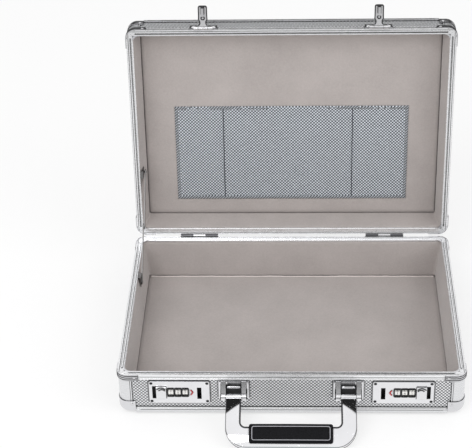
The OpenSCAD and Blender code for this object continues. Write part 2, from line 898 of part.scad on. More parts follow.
// Soft grip round the bar, leaving the handle's outer edge bright
module handle_grip() {
    from = reach - bar_d - grip_t / 4;
    to = reach - grip_edge;
    function bow_z(s) = arch_rise - arch_r + sqrt(pow(arch_r, 2) - pow(s - reach / 2, 2));
    color(dark) handle_place()
        difference() {
            bow_sweep(grip_l) {
                bow(grip_t, from, to - grip_t / 2);
                for (s = [from, to - grip_t / 2]) translate([-s, bow_z(s)]) circle(grip_t / 2);
            }
            bow_sweep(grip_l + 1) bow(arm_t, reach - bar_d, reach + 1);
        }
}

module cheek_profile() {
    translate([-arm_out, bracket_down - arm_down]) circle(arm_pin_r + 3);
    translate([-arm_out, bracket_down - arm_down - arm_pin_r - 3])
        square([arm_out + metal_t, arm_pin_r * 2 + 6]);
    polygon([
        [metal_t, bracket_h / 2], [metal_t - 3.5, bracket_h / 2],
        [-arm_out, bracket_down - arm_down + arm_pin_r + 3], [metal_t, bracket_down - arm_down]
    ]);
}

// Plate with a window, and two cheeks that carry the pin
module handle_bracket(side) {
    color(bright) on_side(side)
        difference() {
            translate([-arm_x, -case_d / 2, rim_z - bracket_down]) {
                difference() {
                    union() {
                        translate([-bracket_w / 2, -1.4, -bracket_h / 2])
                            cube([bracket_w, 2.6, bracket_h]);
                        translate([1 - bracket_w / 2, -2.3, 1 - bracket_h / 2])
                            cube([bracket_w - 2, 3.5, bracket_h - 2]);
                    }
                    translate([-arm_w / 2 - arm_side, -3, -bracket_h / 2 + 5])
                        cube([arm_w + 2 * arm_side, 5, bracket_h - 10]);
                }
                for (x = [-1, 1])
                    translate([x * (arm_w / 2 + arm_side + cheek_t / 2) - cheek_t / 2, 0, 0])
                        rotate([90, 0, 90]) linear_extrude(cheek_t) cheek_profile();
            }
            translate([-arm_x, -case_d / 2 - arm_out, rim_z - arm_down])
                rotate([0, 90, 0]) cylinder(r = arm_pin_r, h = bracket_w, center = true);
        }
}

module handle_pins() {
    l = arm_w + 2 * (arm_side + cheek_t);
    color(dark)
        both_sides()
            translate([-arm_x, -case_d / 2 - arm_out, rim_z - arm_down])
                rotate([0, 90, 0]) {
                    cylinder(r = arm_pin_r, h = l, center = true);
                    for (z = [-1, 1]) translate([0, 0, z * (l / 2 + 0.6)])
                        cylinder(r = arm_pin_r + 1.6, h = 1.2, center = true);
                }
}

// ---- Lid stay, on the left ---------------------------------------------------

// A flat link of length link_l, drawn from its pin along +y, in the plane x = 0..link_t
module link_plate() {
    rotate([90, 0, 90])
        linear_extrude(link_t)
            difference() {
                union() {
                    translate([0, -link_w / 2]) square([link_l, link_w]);
                    for (s = [0, link_l]) translate([s, 0]) circle(link_w / 2);
                }
                circle(stay_pin_r + run);
            }
}

module knee_rivet(out) {
    translate([out > 0 ? link_t : 0, link_l, 0]) rotate([0, 90 * out, 0]) rivet();
}

// Bracket riveted to the rim's inner face, with the stud that its link turns on
module stay_bracket(x_pin, x_end) {
    plate_x = -case_w / 2 + link_out - 1.3;
    rim_in = -case_w / 2 + rim_w;
    translate([plate_x, -6, -5]) cube([1, 12, stay_in + 4.4]);
    translate([rim_in, -6, stay_in - rim_head + 0.4])
        cube([plate_x + 1 - rim_in, 12, rim_head - 1]);
    translate([plate_x, 0, 0])
        rotate([0, 90, 0]) cylinder(r = stay_pin_r, h = x_end + 0.1 - plate_x);
    translate([x_end + 0.1, 0, 0]) rotate([0, 90, 0]) rivet();
}

module stay_base_bracket() {
    color(bright)
        translate([0, hinge_y - stay_run, hinge_z - stay_in])
            stay_bracket(stay_x, stay_x + link_t);
}

module stay_lid_bracket() {
    color(bright)
        translate([0, hinge_y, hinge_z]) rotate([-90 - lean, 0, 0])
            translate([0, -stay_run, stay_in])
                mirror([0, 0, 1]) stay_bracket(stay_upper_x, stay_upper_x + link_t);
}

module stay_lower_link() {
    color(bright)
        translate([stay_x, hinge_y - stay_run, hinge_z - stay_in])
            rotate([stay_angle, 0, 0]) {
                link_plate();
                knee_rivet(-1);
            }
}

module stay_upper_link() {
    color(bright)
        translate([0, hinge_y, hinge_z]) rotate([-90 - lean, 0, 0])
            translate([stay_upper_x, -stay_run, stay_in])
                rotate([-stay_angle, 0, 0]) {
                    link_plate();
                    knee_rivet(1);
                }
}

// ---- Nodes -----------------------------------------------------------------

bottom_board();
base_front_board();
base_rear_board();
base_side_boards();
base_rim_rails();
base_edge_rails();
base_corner_posts();
base_rim_corners();
base_ball_corners();
base_rivets();
base_wall_lining();
base_floor_lining();
hinge_base_leaves();
hinge_pins();
lock_plate("left");  // lock_plate_left
lock_plate("right");  // lock_plate_right
lock_case("left");  // lock_case_left
lock_case("right");  // lock_case_right
dial_spindle("left");  // dial_spindle_left
dial_spindle("right");  // dial_spindle_right
lock_screws();
thumb_slide("left");  // thumb_slide_left
thumb_slide("right");  // thumb_slide_right
dial("left", 0);  // dial_left_1
dial("left", 1);  // dial_left_2
dial("left", 2);  // dial_left_3
dial("right", 0);  // dial_right_1
dial("right", 1);  // dial_right_2
dial("right", 2);  // dial_right_3
handle_bracket("left");  // handle_bracket_left
handle_bracket("right");  // handle_bracket_right
handle_pins();
handle_frame();
handle_grip();
stay_base_bracket();
stay_lower_link();
stay_upper_link();
stay_lid_bracket();
top_board();
lid_front_board();
lid_rear_board();
lid_side_boards();
lid_rim_rails();
lid_edge_rails();
lid_corner_posts();
lid_rim_corners();
lid_ball_corners();
lid_rivets();
lid_wall_lining();
lid_panel_lining();
lid_pocket();
pocket_hems();
hinge_lid_leaves();
hasp_plate("left");  // hasp_plate_left
hasp_plate("right");  // hasp_plate_right
hasp_pins();
hasp("left");  // hasp_left
hasp("right");  // hasp_right
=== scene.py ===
import json
import math

import bmesh
import bpy
import numpy as np
from bpy.props import FloatProperty, FloatVectorProperty, IntProperty, PointerProperty
from mathutils import Matrix, Vector, noise


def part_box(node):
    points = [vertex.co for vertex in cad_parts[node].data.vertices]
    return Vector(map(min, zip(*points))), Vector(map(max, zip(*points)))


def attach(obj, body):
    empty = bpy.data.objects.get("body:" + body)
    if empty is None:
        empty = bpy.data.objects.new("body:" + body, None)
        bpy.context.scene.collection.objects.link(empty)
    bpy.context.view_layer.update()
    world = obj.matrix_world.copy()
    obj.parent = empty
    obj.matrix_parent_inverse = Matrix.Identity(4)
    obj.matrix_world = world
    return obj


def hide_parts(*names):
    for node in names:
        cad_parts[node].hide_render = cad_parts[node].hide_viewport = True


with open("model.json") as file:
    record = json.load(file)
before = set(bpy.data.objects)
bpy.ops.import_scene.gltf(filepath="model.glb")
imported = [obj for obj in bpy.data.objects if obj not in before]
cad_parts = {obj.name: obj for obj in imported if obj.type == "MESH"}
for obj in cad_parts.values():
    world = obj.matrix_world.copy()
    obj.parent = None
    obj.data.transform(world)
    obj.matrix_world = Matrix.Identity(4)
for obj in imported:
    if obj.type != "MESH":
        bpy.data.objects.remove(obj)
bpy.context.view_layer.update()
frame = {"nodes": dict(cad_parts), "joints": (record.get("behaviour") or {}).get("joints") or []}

bl_info = {
    "name": "Laptop Hard Case Dressing",
    "version": (1, 0, 0),
    "blender": (4, 5, 0),
    "location": "3D View > Sidebar > Case",
    "description": "Finishes, linings, pocket, grip and lock figures for an aluminium laptop case",
    "category": "Object",
}

MM = 0.001
SIDES = ("left", "right")
WAYS = (-1, 1)
UP = (0, 0, 1)

# ---- Places taken from the frame -------------------------------------------------

HALF_W, HALF_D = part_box("base_edge_rails")[1].xy
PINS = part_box("hinge_pins")
HINGE = Vector((0.0, (PINS[0].y + PINS[1].y) / 2, (PINS[0].z + PINS[1].z) / 2))
LID_HINGE = next(j for j in frame["joints"] if j["name"] == "lid_hinge")
OPENING = math.radians(LID_HINGE["range_deg"][1])
FLOOR_LOW, FLOOR_TOP = (corner.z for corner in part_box("base_floor_lining"))
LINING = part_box("base_wall_lining")[1]
WALL_TOP, WALL_LEG = LINING.z, HALF_W - LINING.x
BOARD_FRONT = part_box("base_front_board")[0].y
BOARD_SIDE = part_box("base_side_boards")[1].x

# The tray's and the lid's shells, each drawn as a tray that stands on z = 0
TRAY_HEIGHT, LID_HEIGHT = 66 * MM, 43 * MM
LID_FLOOR, LID_WALL_TOP = 6 * MM, LID_HEIGHT - 3.2 * MM
TRAY = Matrix.Translation((0, 0, 1.2 * MM))
LID = (Matrix.Translation(HINGE) @ Matrix.Rotation(-OPENING, 4, "X")
       @ Matrix.Translation(-HINGE)
       @ Matrix.Translation((0, 0, HINGE.z + 0.2 * MM + LID_HEIGHT))
       @ Matrix.Diagonal((1, 1, -1, 1)))
SHELLS = (("tray", TRAY_HEIGHT, TRAY), ("lid", LID_HEIGHT, LID))


def lid_box(node):
    """Lowest and highest corner of a node of the lid, in the lid drawn as a tray."""
    back = LID.inverted()
    at = np.array([(back @ v.co)[:] for v in frame["nodes"][node].data.vertices])
    return Vector(at.min(0)), Vector(at.max(0))


POCKET = lid_box("lid_pocket")
SEAMS = (-98 * MM, 88 * MM)


# ---- Values a user may change ----------------------------------------------------

def tint(name, about, default):
    return FloatVectorProperty(name=name, description=about, subtype="COLOR", size=3,
                               min=0, max=1, default=default)


def length(name, about, default):
    return FloatProperty(name=name, description=about, subtype="DISTANCE", unit="LENGTH",
                         default=default, min=0, max=1, precision=5)


class CaseColours(bpy.types.PropertyGroup):
    """Colours of the case's finishes."""
    rail: tint("Rails", "Satin anodised rails and posts", (0.76, 0.765, 0.78))
    # Painted light: the rims' rails are the same satin aluminium as the other rails, in a lighter
    # colour
    rim: tint("Rims", "Rails round the two rims", (0.92, 0.925, 0.94))
    corner: tint("Corners", "Bright pressed corners", (0.76, 0.76, 0.78))
    panel: tint("Panels", "Embossed panels", (0.86, 0.865, 0.88))
    # Painted shade: the near black that the emboss's hollows are darkened to
    panel_low: tint("Panel hollows", "Hollows of the emboss", (0.07, 0.074, 0.082))
    chrome: tint("Bright metal", "Plated locks, hasps, hinges and handle", (0.86, 0.86, 0.88))
    worn: tint("Darkened metal", "Hinge leaves of the tray", (0.16, 0.16, 0.17))
    black: tint("Black metal", "Blackened pins and screws", (0.025, 0.025, 0.028))
    edge: tint("Handle's edge", "Shade along the handle's outer edge", (0.10, 0.10, 0.105))
    zinc: tint("Lock case", "Blackened body behind a lock", (0.012, 0.012, 0.013))
    lining: tint("Lining", "Brushed lining", (0.455, 0.415, 0.400))
    lining_dark: tint("Lining shade", "Pile brushed the other way", (0.385, 0.350, 0.337))
    mesh: tint("Pocket thread", "Thread of the pocket's mesh", (0.66, 0.70, 0.75))
    # Painted shade: the near black that the mesh's gaps show in place of the lining behind them
    mesh_low: tint("Pocket holes", "Gaps of the pocket's mesh", (0.035, 0.042, 0.052))
    hem: tint("Hem", "Tape of the pocket's edges", (0.60, 0.64, 0.69))
    seam: tint("Seam", "Dark cord down the pocket", (0.06, 0.065, 0.08))
    # Painted shade, with a little dirt, deep in the lining's folds and under the rims
    crease: tint("Crease", "Lining deep in a fold", (0.06, 0.052, 0.050))
    # Painted shade: the stay's steel is darkened like the lining's shade so that it hardly shows
    steel: tint("Stay", "Dull steel of the lid stay", (0.26, 0.255, 0.255))
    # Also the colour of the dark lines in the rails' and corners' grooves, painted shade, and of
    # the seals, partly painted shade in their joints
    seal: tint("Seal", "Black seal between panel and rail", (0.02, 0.02, 0.022))
    grip: tint("Grip", "Soft black grip", (0.0055, 0.0055, 0.007))
    # Painted highlight: the pale line round the grip
    piping: tint("Grip line", "Pale line round the grip", (0.42, 0.42, 0.45))
    wheel: tint("Wheels", "Number wheels", (0.78, 0.77, 0.75))
    figure: tint("Figures", "Figures of the wheels", (0.030, 0.024, 0.026))
    mark: tint("Mark", "Index marks of the locks", (0.50, 0.035, 0.040))
    floor: tint("Floor", "Floor and backdrop", (0.93, 0.93, 0.93))


class CaseSizes(bpy.types.PropertyGroup):
    """Sizes of what is added to the frame."""
    emboss: length("Emboss pitch", "Pitch of the panels' diamonds", 4.8 * MM)
    weave: length("Mesh pitch", "Pitch of the pocket's mesh", 4.7 * MM)
    crown: length("Pad crown", "How far the pads swell", 0.7 * MM)
    pucker: length("Pucker", "Depth of the folds along a seam", 0.35 * MM)
    fold_r: length("Inner corner", "Radius of the lining's upright corners", 2.2 * MM)
    cell: length("Pad mesh", "Spacing of the pads' points", 3.0 * MM)
    figure_h: length("Figure height", "Height of a wheel's figure", 2.9 * MM)
    settle: IntProperty(name="Settling", description="Steps in which the pocket settles",
                        default=18, min=1, max=60)


# ---- Meshes ------------------------------------------------------------------------

def take(obj=None):
    """Makes obj the only selected object and the active one; without it, selects none."""
    if bpy.context.object and bpy.context.object.mode != "OBJECT":
        bpy.ops.object.mode_set(mode="OBJECT")
    bpy.ops.object.select_all(action="DESELECT")
    if obj:
        obj.select_set(True)
        bpy.context.view_layer.objects.active = obj


def edit(obj, **steps):
    """Runs operators of edit mode on the whole mesh, each given by name with its values."""
    take(obj)
    bpy.ops.object.mode_set(mode="EDIT")
    for name, values in steps.items():
        if name != "delete":
            bpy.ops.mesh.select_all(action="SELECT")
        getattr(bpy.ops.mesh, name)(**values)
    bpy.ops.object.mode_set(mode="OBJECT")
    return obj


def outwards(obj, **steps):
    """Edits the mesh, then turns its faces outwards."""
    return edit(obj, **steps, normals_make_consistent={"inside": False})


def pull(way):
    return {"TRANSFORM_OT_translate": {"value": tuple(way)}}


def applied(obj, kind, **values):
    """Adds a modifier and applies it."""
    take(obj)
    modifier = obj.modifiers.new("step", kind)
    for key, value in values.items():
        setattr(modifier, key, value)
    bpy.ops.object.modifier_apply(modifier=modifier.name)
    return obj


def placed(name, scale, location):
    """Names the active object, sizes and places it, and puts that into its mesh."""
    obj = bpy.context.object
    obj.name, obj.scale, obj.location = name, scale, location
    take(obj)
    bpy.ops.object.transform_apply(location=True, rotation=True, scale=True)
    return obj


def linked(name, data):
    obj = bpy.data.objects.new(name, data)
    bpy.context.scene.collection.objects.link(obj)
    return obj


def piece(name, points, faces, at=None, smooth=True):
    mesh = bpy.data.meshes.new(name)
    mesh.from_pydata([tuple(p) for p in points], [], faces)
    if at is not None:
        mesh.transform(at)
        if at.determinant() < 0:
            mesh.flip_normals()
    mesh.validate()
    if smooth:
        mesh.shade_smooth()
    return linked(name, mesh)


def dress(obj, material):
    obj.data.materials.clear()
    obj.data.materials.append(material)
    for polygon in obj.data.polygons:
        polygon.material_index = 0


def fit(obj, material, body, stands_for=None):
    """Gives a piece its material, its body, and what it stands for."""
    dress(obj, material)
    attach(obj, body)
    if stands_for:
        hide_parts(stands_for)
    return obj


def tube_faces(rows, ring, start=0):
    """Faces between rings of points, with both ends closed."""
    faces = [(a + k, a + (k + 1) % ring, a + ring + (k + 1) % ring, a + ring + k)
             for a in range(start, start + (rows - 1) * ring, ring) for k in range(ring)]
    last = start + (rows - 1) * ring
    return faces + [tuple(range(start + ring - 1, start - 1, -1)), tuple(range(last, last + ring))]


def grid_faces(nx, ny, start=0):
    return [(q, q + 1, q + nx + 2, q + nx + 1)
            for j in range(ny) for q in range(start + j * (nx + 1), start + j * (nx + 1) + nx)]


def slab_faces(nx, ny, start=0):
    """Faces of a grid of points, of its like below, and of the rim between them."""
    w, under = nx + 1, (nx + 1) * (ny + 1)
    faces = grid_faces(nx, ny, start)
    faces += [(a + under, d + under, c + under, b + under) for a, b, c, d in faces]
    rim = (list(range(nx + 1)) + [j * w + nx for j in range(1, ny + 1)]
           + [ny * w + i for i in range(nx - 1, -1, -1)] + [j * w for j in range(ny - 1, 0, -1)])
    rim = [start + a for a in rim]
    return faces + [(a, a + under, b + under, b) for a, b in zip(rim, rim[1:] + rim[:1])]


def grid_points(nx, ny, low, high):
    return [(low[0] + (high[0] - low[0]) * i / nx, low[1] + (high[1] - low[1]) * j / ny)
            for j in range(ny + 1) for i in range(nx + 1)]


def bead(name, runs, half, at=None):
    """Half-round strips along lists of (point, the way the strip faces); half is half its width."""
    points, faces, ring = [], [], 7
    for run in runs:
        faces += tube_faces(len(run), ring, len(points))
        for i, (here, face) in enumerate(run):
            here, face = Vector(here), Vector(face).normalized()
            ahead = Vector(run[min(i + 1, len(run) - 1)][0]) - Vector(run[max(i - 1, 0)][0])
            side = ahead.normalized().cross(face) * half
            for k in range(ring):
                t = math.pi * k / (ring - 1)
                points.append(here + side * math.cos(t) + face * half * 0.7 * math.sin(t))
    return outwards(piece(name, points, faces, at))


def arc(x, y, radius, start, end, steps):
    """Points (x, y) on an arc between two angles in degrees."""
    turns = (math.radians(start + (end - start) * k / steps) for k in range(steps + 1))
    return [(x + radius * math.cos(a), y + radius * math.sin(a)) for a in turns]


def rounded_loop(half_x, half_y, radius, across, along, turn):
    """Points round a rounded oblong with their outward directions, anticlockwise."""
    found = []
    x, y = half_x - radius, half_y - radius
    corners = [(x, -y), (x, y), (-x, y), (-x, -y)]
    for i, (cx, cy) in enumerate(corners):
        px, py = corners[i - 1]
        a0 = math.radians(90 * (i - 1))
        nx, ny = math.cos(a0), math.sin(a0)
        count = along if i % 2 else across
        for k in range(count):
            t = k / count
            found.append((px + (cx - px) * t + radius * nx, py + (cy - py) * t + radius * ny,
                          nx, ny))
        for k in range(turn):
            a = a0 + math.radians(90) * k / turn
            nx, ny = math.cos(a), math.sin(a)
            found.append((cx + radius * nx, cy + radius * ny, nx, ny))
    return found


def ripple(x, y, z, size):
    """A smooth value between -1 and 1 that wanders over the given length."""
    return noise.noise(Vector((x, y, z)) / size)


# ---- Padding -----------------------------------------------------------------------

PAD_FOOT, PAD_HEAD = 16 * MM, 9 * MM      # how far in the walls' lining stands
FLOOR_IN, FLOOR_UNDER = 12.4 * MM, 3.4 * MM  # the floor pad's edge, and how much walls cover


def mark_crease(obj, depths):
    """Keeps how deep in a fold each point lies, for the lining's painted shade."""
    layer = obj.data.attributes.new("crease", "FLOAT", "POINT")
    layer.data.foreach_set("value", depths)
    return obj


def fold_shade(side, at):
    """How dark the painted shade in a floor fold is: darkest down the two sides, and lighter in the
    tray.
    """
    return 0.30 + 0.22 * abs(side) if at is None else 0.52 + 0.48 * abs(side)


def wall_pad(name, sizes, low, high, rooms, at):
    """A band of padded cloth round the four walls, with soft upright corners.

    Its back leaves room for the boxes in rooms, which stand out of the front wall."""
    across, along = round(2 * HALF_W / sizes.cell), round(2 * HALF_D / sizes.cell)
    turn = 7
    face = [(PAD_FOOT - inset * MM, low + rise * MM)
            for inset, rise in ((3.4, -1.0), (2.2, 0.1), (1.1, 0.9), (0.4, 1.8))]
    steps = max(6, round((high - low) / sizes.cell))
    for k in range(steps + 1):
        t = k / steps
        z = low + 3.0 * MM + (high - low - 4.3 * MM) * t
        swell = sizes.crown * math.sin(math.pi * t) ** 0.6 if 0 < t < 1 else 0
        face.append((PAD_FOOT + (PAD_HEAD - PAD_FOOT) * (z - low) / (high - low) + swell, z))
    face += [(PAD_HEAD - 0.5 * MM, high - 0.4 * MM), (PAD_HEAD - 1.4 * MM, high)]
    rows = face + [(WALL_LEG + 0.15 * MM, z) for _, z in reversed(face)]
    points, deep = [], []
    seed = 7.3 if at is None else 41.9
    for r, (inset, z) in enumerate(rows):
        front = r < len(face)
        radius = sizes.fold_r + (0.6 * MM * (1 - (z - low) / (high - low)) if front else 5 * MM)
        near = math.exp(-(z - low) / (6 * MM)) + 0.5 * math.exp(-(high - z) / (4 * MM))
        near *= 1 if r > 3 else 0.3
        # Painted shade, with a little dirt: dark in the fold at the foot of the wall and in the gap
        # under the rim at its head
        foot = math.exp(-max(0.0, z - low) / (1.3 * MM))
        head = 0.55 * math.exp((z - high) / (0.9 * MM))
        for x, y, nx, ny in rounded_loop(HALF_W - inset, HALF_D - inset, radius,
                                         across, along, turn):
            move = 0.0
            if front:
                move = sizes.pucker * near * ripple(x + seed, y, z * 0.35, 11 * MM)
                move += 0.16 * MM * ripple(x, y + seed, z, 34 * MM)
            elif y < 0:
                for lo, hi in rooms:
                    if (lo.x - 1.5 * MM < x < hi.x + 1.5 * MM
                            and lo.z - 1 * MM < z < hi.z + 1 * MM):
                        move = hi.y + 0.45 * MM - y
            points.append((x - nx * move, y - ny * move, z))
            deep.append(max(foot * fold_shade(nx, at), head))
    ring, total = len(points) // len(rows), len(points)
    faces = [(a + c, a + (c + 1) % ring, (a + ring + (c + 1) % ring) % total,
              (a + ring + c) % total) for a in range(0, total, ring) for c in range(ring)]
    return mark_crease(piece(name, points, faces, at), deep)


def floor_pad(name, sizes, low, high, at):
    """A thin padded panel that swells a little and puckers where the walls press on it."""
    half_x, half_y = HALF_W - FLOOR_IN, HALF_D - FLOOR_IN
    nx, ny = round(2 * half_x / sizes.cell), round(2 * half_y / sizes.cell)
    points, deep, seed = [], [], 3.1 if at is None else 17.7
    grid = grid_points(nx, ny, (-half_x, -half_y), (half_x, half_y))
    for x, y in grid:
        edge = min(half_x - abs(x), half_y - abs(y))
        rise = sizes.crown * (1 - math.exp(-max(0.0, edge - FLOOR_UNDER) / (16 * MM)))
        near = math.exp(-abs(edge - FLOOR_UNDER - 2 * MM) / (4 * MM))
        rise += sizes.pucker * 0.8 * near * ripple(x + seed, y, 0, 13 * MM)
        rise += 0.22 * MM * (1 - near) * ripple(x, y + seed, 0, 46 * MM)
        roll = min(1.0, max(0.0, (FLOOR_UNDER + 2.6 * MM - edge) / (2.6 * MM)))
        rise -= 1.35 * MM * roll * roll + max(0.0, rise) * roll
        side = 1.0 if half_x - abs(x) < half_y - abs(y) else 0.0
        # Painted shade, with a little dirt, in the fold where the walls press on the pad
        fold = math.exp(-max(0.0, edge - FLOOR_UNDER) / (1.1 * MM))
        deep.append(fold * fold_shade(side, at))
        points.append((x, y, high + rise))
    points += [(x, y, low + 0.1 * MM) for x, y in grid]
    obj = piece(name, points, slab_faces(nx, ny), at)
    return mark_crease(obj, deep + [1.0] * len(grid))


def line_shell(part, end, flat, node, walls, floor, rooms=(), at=None):
    """Padded walls and a padded floor or panel for one shell."""
    cloth = lining_finish(f"{end}_lining_cloth", part.colours)
    pads = (wall_pad(f"{end}_wall_pad", part.sizes, *walls, rooms, at),
            floor_pad(f"{end}_{flat}_pad", part.sizes, *floor, at))
    for pad, lining in zip(pads, ("wall", flat)):
        fit(pad, cloth, end, f"{node}_{lining}_lining")


# ---- Node wiring -------------------------------------------------------------------

class Wiring:
    """Adds nodes to a tree and joins them."""

    def __init__(self, tree):
        self.tree, self.column = tree, 0

    def add(self, kind, feeds=None, **settings):
        node = self.tree.nodes.new(kind)
        node.location = (-1500 + 170 * (self.column % 10), 300 - 220 * (self.column // 10))
        self.column += 1
        for key, value in settings.items():
            setattr(node, key, value)
        for key, value in (feeds or {}).items():
            self.feed(node.inputs[key], value)
        return node

    def feed(self, socket, value):
        if isinstance(value, bpy.types.NodeSocket):
            self.tree.links.new(value, socket)
        else:
            socket.default_value = value

    def sum(self, operation, *values):
        node = self.add("ShaderNodeMath", operation=operation)
        for socket, value in zip(node.inputs, values):
            self.feed(socket, value)
        return node.outputs[0]

    def plus(self, first, second):
        return self.sum("ADD", first, second)

    def less(self, first, second):
        return self.sum("SUBTRACT", first, second)

    def times(self, first, second):
        return self.sum("MULTIPLY", first, second)

    def most(self, first, second):
        return self.sum("MAXIMUM", first, second)

    def size(self, value):
        return self.sum("ABSOLUTE", value)

    def split(self, vector):
        """The three parts of a vector."""
        return self.add("ShaderNodeSeparateXYZ", {"Vector": vector}).outputs

    def stretch(self, vector, by):
        return self.add("ShaderNodeVectorMath", {0: vector, 1: by}, operation="MULTIPLY").outputs[0]

    def mix(self, share, first, second):
        node = self.add("ShaderNodeMix", data_type="RGBA")
        for name, value in (("Factor_Float", share), ("A_Color", first), ("B_Color", second)):
            self.feed(next(s for s in node.inputs if s.identifier == name), value)
        return next(s for s in node.outputs if s.identifier == "Result_Color")

    def span(self, value, low, high, to_low=0.0, to_high=1.0):
        """Maps low to high onto to_low to to_high, and holds the ends."""
        node = self.add("ShaderNodeMapRange", {"Value": value, "From Min": low, "From Max": high,
                                               "To Min": to_low, "To Max": to_high})
        node.clamp = True
        return node.outputs["Result"]

    def noise(self, place, scale, detail=3.0, rough=0.55):
        return self.add("ShaderNodeTexNoise", {"Vector": place, "Scale": scale, "Detail": detail,
                                               "Roughness": rough}).outputs["Fac"]


FLOAT, VECTOR = "NodeSocketFloat", "NodeSocketVector"


def effect(name, inputs, outputs):
    """An empty node group with named sockets, as its wiring, its inputs and its outputs."""
    tree = bpy.data.node_groups.new(name, "ShaderNodeTree")
    for label, kind, *value in inputs:
        socket = tree.interface.new_socket(name=label, in_out="INPUT", socket_type=kind)
        if value:
            socket.default_value = value[0]
    for label, kind in outputs:
        tree.interface.new_socket(name=label, in_out="OUTPUT", socket_type=kind)
    wiring = Wiring(tree)
    start, end = wiring.add("NodeGroupInput"), wiring.add("NodeGroupOutput")
    return wiring, start.outputs, end.inputs


def make_face_plan(name):
    """Lengthwise and crosswise place on a face of the case, for boards and rails of any side."""
    w, start, end = effect(name, [("Place", VECTOR), ("Normal", VECTOR), ("Tilt", FLOAT, 0.0)],
                           [("Plan", VECTOR)])
    place, normal = (
        w.split(w.add("ShaderNodeVectorRotate", {"Vector": start[label], "Angle": start["Tilt"]},
                      rotation_type="X_AXIS").outputs[0]) for label in ("Place", "Normal"))
    side = w.sum("GREATER_THAN", w.size(normal["X"]), 0.7)
    flat = w.sum("GREATER_THAN", w.size(normal["Z"]), 0.7)
    run = w.plus(w.times(side, place["Y"]), w.times(w.less(1.0, side), place["X"]))
    rise = w.plus(w.times(flat, place["Y"]), w.times(w.less(1.0, flat), place["Z"]))
    plan = w.add("ShaderNodeCombineXYZ", {"X": run, "Y": rise, "Z": 0.0})
    w.feed(end["Plan"], plan.outputs[0])
    return w.tree


def crossing_rows(w, vector, pitch):
    """Height of bumps where two slanting sets of rows cross."""
    at, turn = w.split(vector), w.sum("DIVIDE", math.pi, pitch)
    rows = [w.sum("COSINE", w.times(w.sum(op, at["X"], at["Y"]), turn))
            for op in ("ADD", "SUBTRACT")]
    return w.size(w.times(*rows))


def make_diamonds(name):
    """Raised diamonds in crossing rows."""
    w, start, end = effect(name, [("Plan", VECTOR), ("Pitch", FLOAT, 0.0027)],
                           [("Height", FLOAT), ("Hollow", FLOAT)])
    height = crossing_rows(w, start["Plan"], start["Pitch"])
    w.feed(end["Height"], w.sum("POWER", height, 0.6))
    w.feed(end["Hollow"], w.span(height, 0.16, 0.52, 1.0, 0.0))
    return w.tree


def make_handling(name):
    """Faint smudges, and short scratches that run every way."""
    w, start, end = effect(name, [("Place", VECTOR)], [("Smudge", FLOAT), ("Scratch", FLOAT)])
    w.feed(end["Smudge"], w.span(w.noise(start["Place"], 26, 4), 0.35, 0.7))
    thin = w.noise(w.stretch(start["Place"], (900, 130, 420)), 1.0, 2)
    w.feed(end["Scratch"], w.span(thin, 0.70, 0.78))
    return w.tree


def make_brushing(name):
    """Fine lines along a rail."""
    w, start, end = effect(name, [("Plan", VECTOR)], [("Line", FLOAT)])
    w.feed(end["Line"], w.noise(w.stretch(start["Plan"], (24, 2600, 1)), 1.0, 3, 0.6))
    return w.tree


def make_nap(name):
    """Short brushed pile with patches laid either way."""
    w, start, end = effect(name, [("Place", VECTOR)], [("Height", FLOAT), ("Laid", FLOAT)])
    fine = w.noise(start["Place"], 1500, 2, 0.6)
    tuft = w.noise(start["Place"], 420, 2, 0.5)
    w.feed(end["Height"], w.plus(fine, tuft))
    patch = w.noise(start["Place"], 14, 4, 0.6)
    w.feed(end["Laid"], w.span(w.plus(w.times(patch, 0.62), w.times(tuft, 0.38)), 0.34, 0.66))
    return w.tree


def make_mesh_weave(name):
    """Round openings in offset rows between raised threads."""
    w, start, end = effect(name, [("Map", VECTOR), ("Pitch", FLOAT, 0.002)],
                           [("Thread", FLOAT), ("Fleck", FLOAT)])
    knot = crossing_rows(w, start["Map"], start["Pitch"])
    w.feed(end["Thread"], w.span(knot, 0.22, 0.52))
    w.feed(end["Fleck"], w.noise(start["Map"], 900, 2))
    return w.tree


MAKERS = {"face_plan": make_face_plan, "diamond_emboss": make_diamonds,
          "handling_marks": make_handling, "brushing": make_brushing,
          "brushed_nap": make_nap, "mesh_weave": make_mesh_weave}


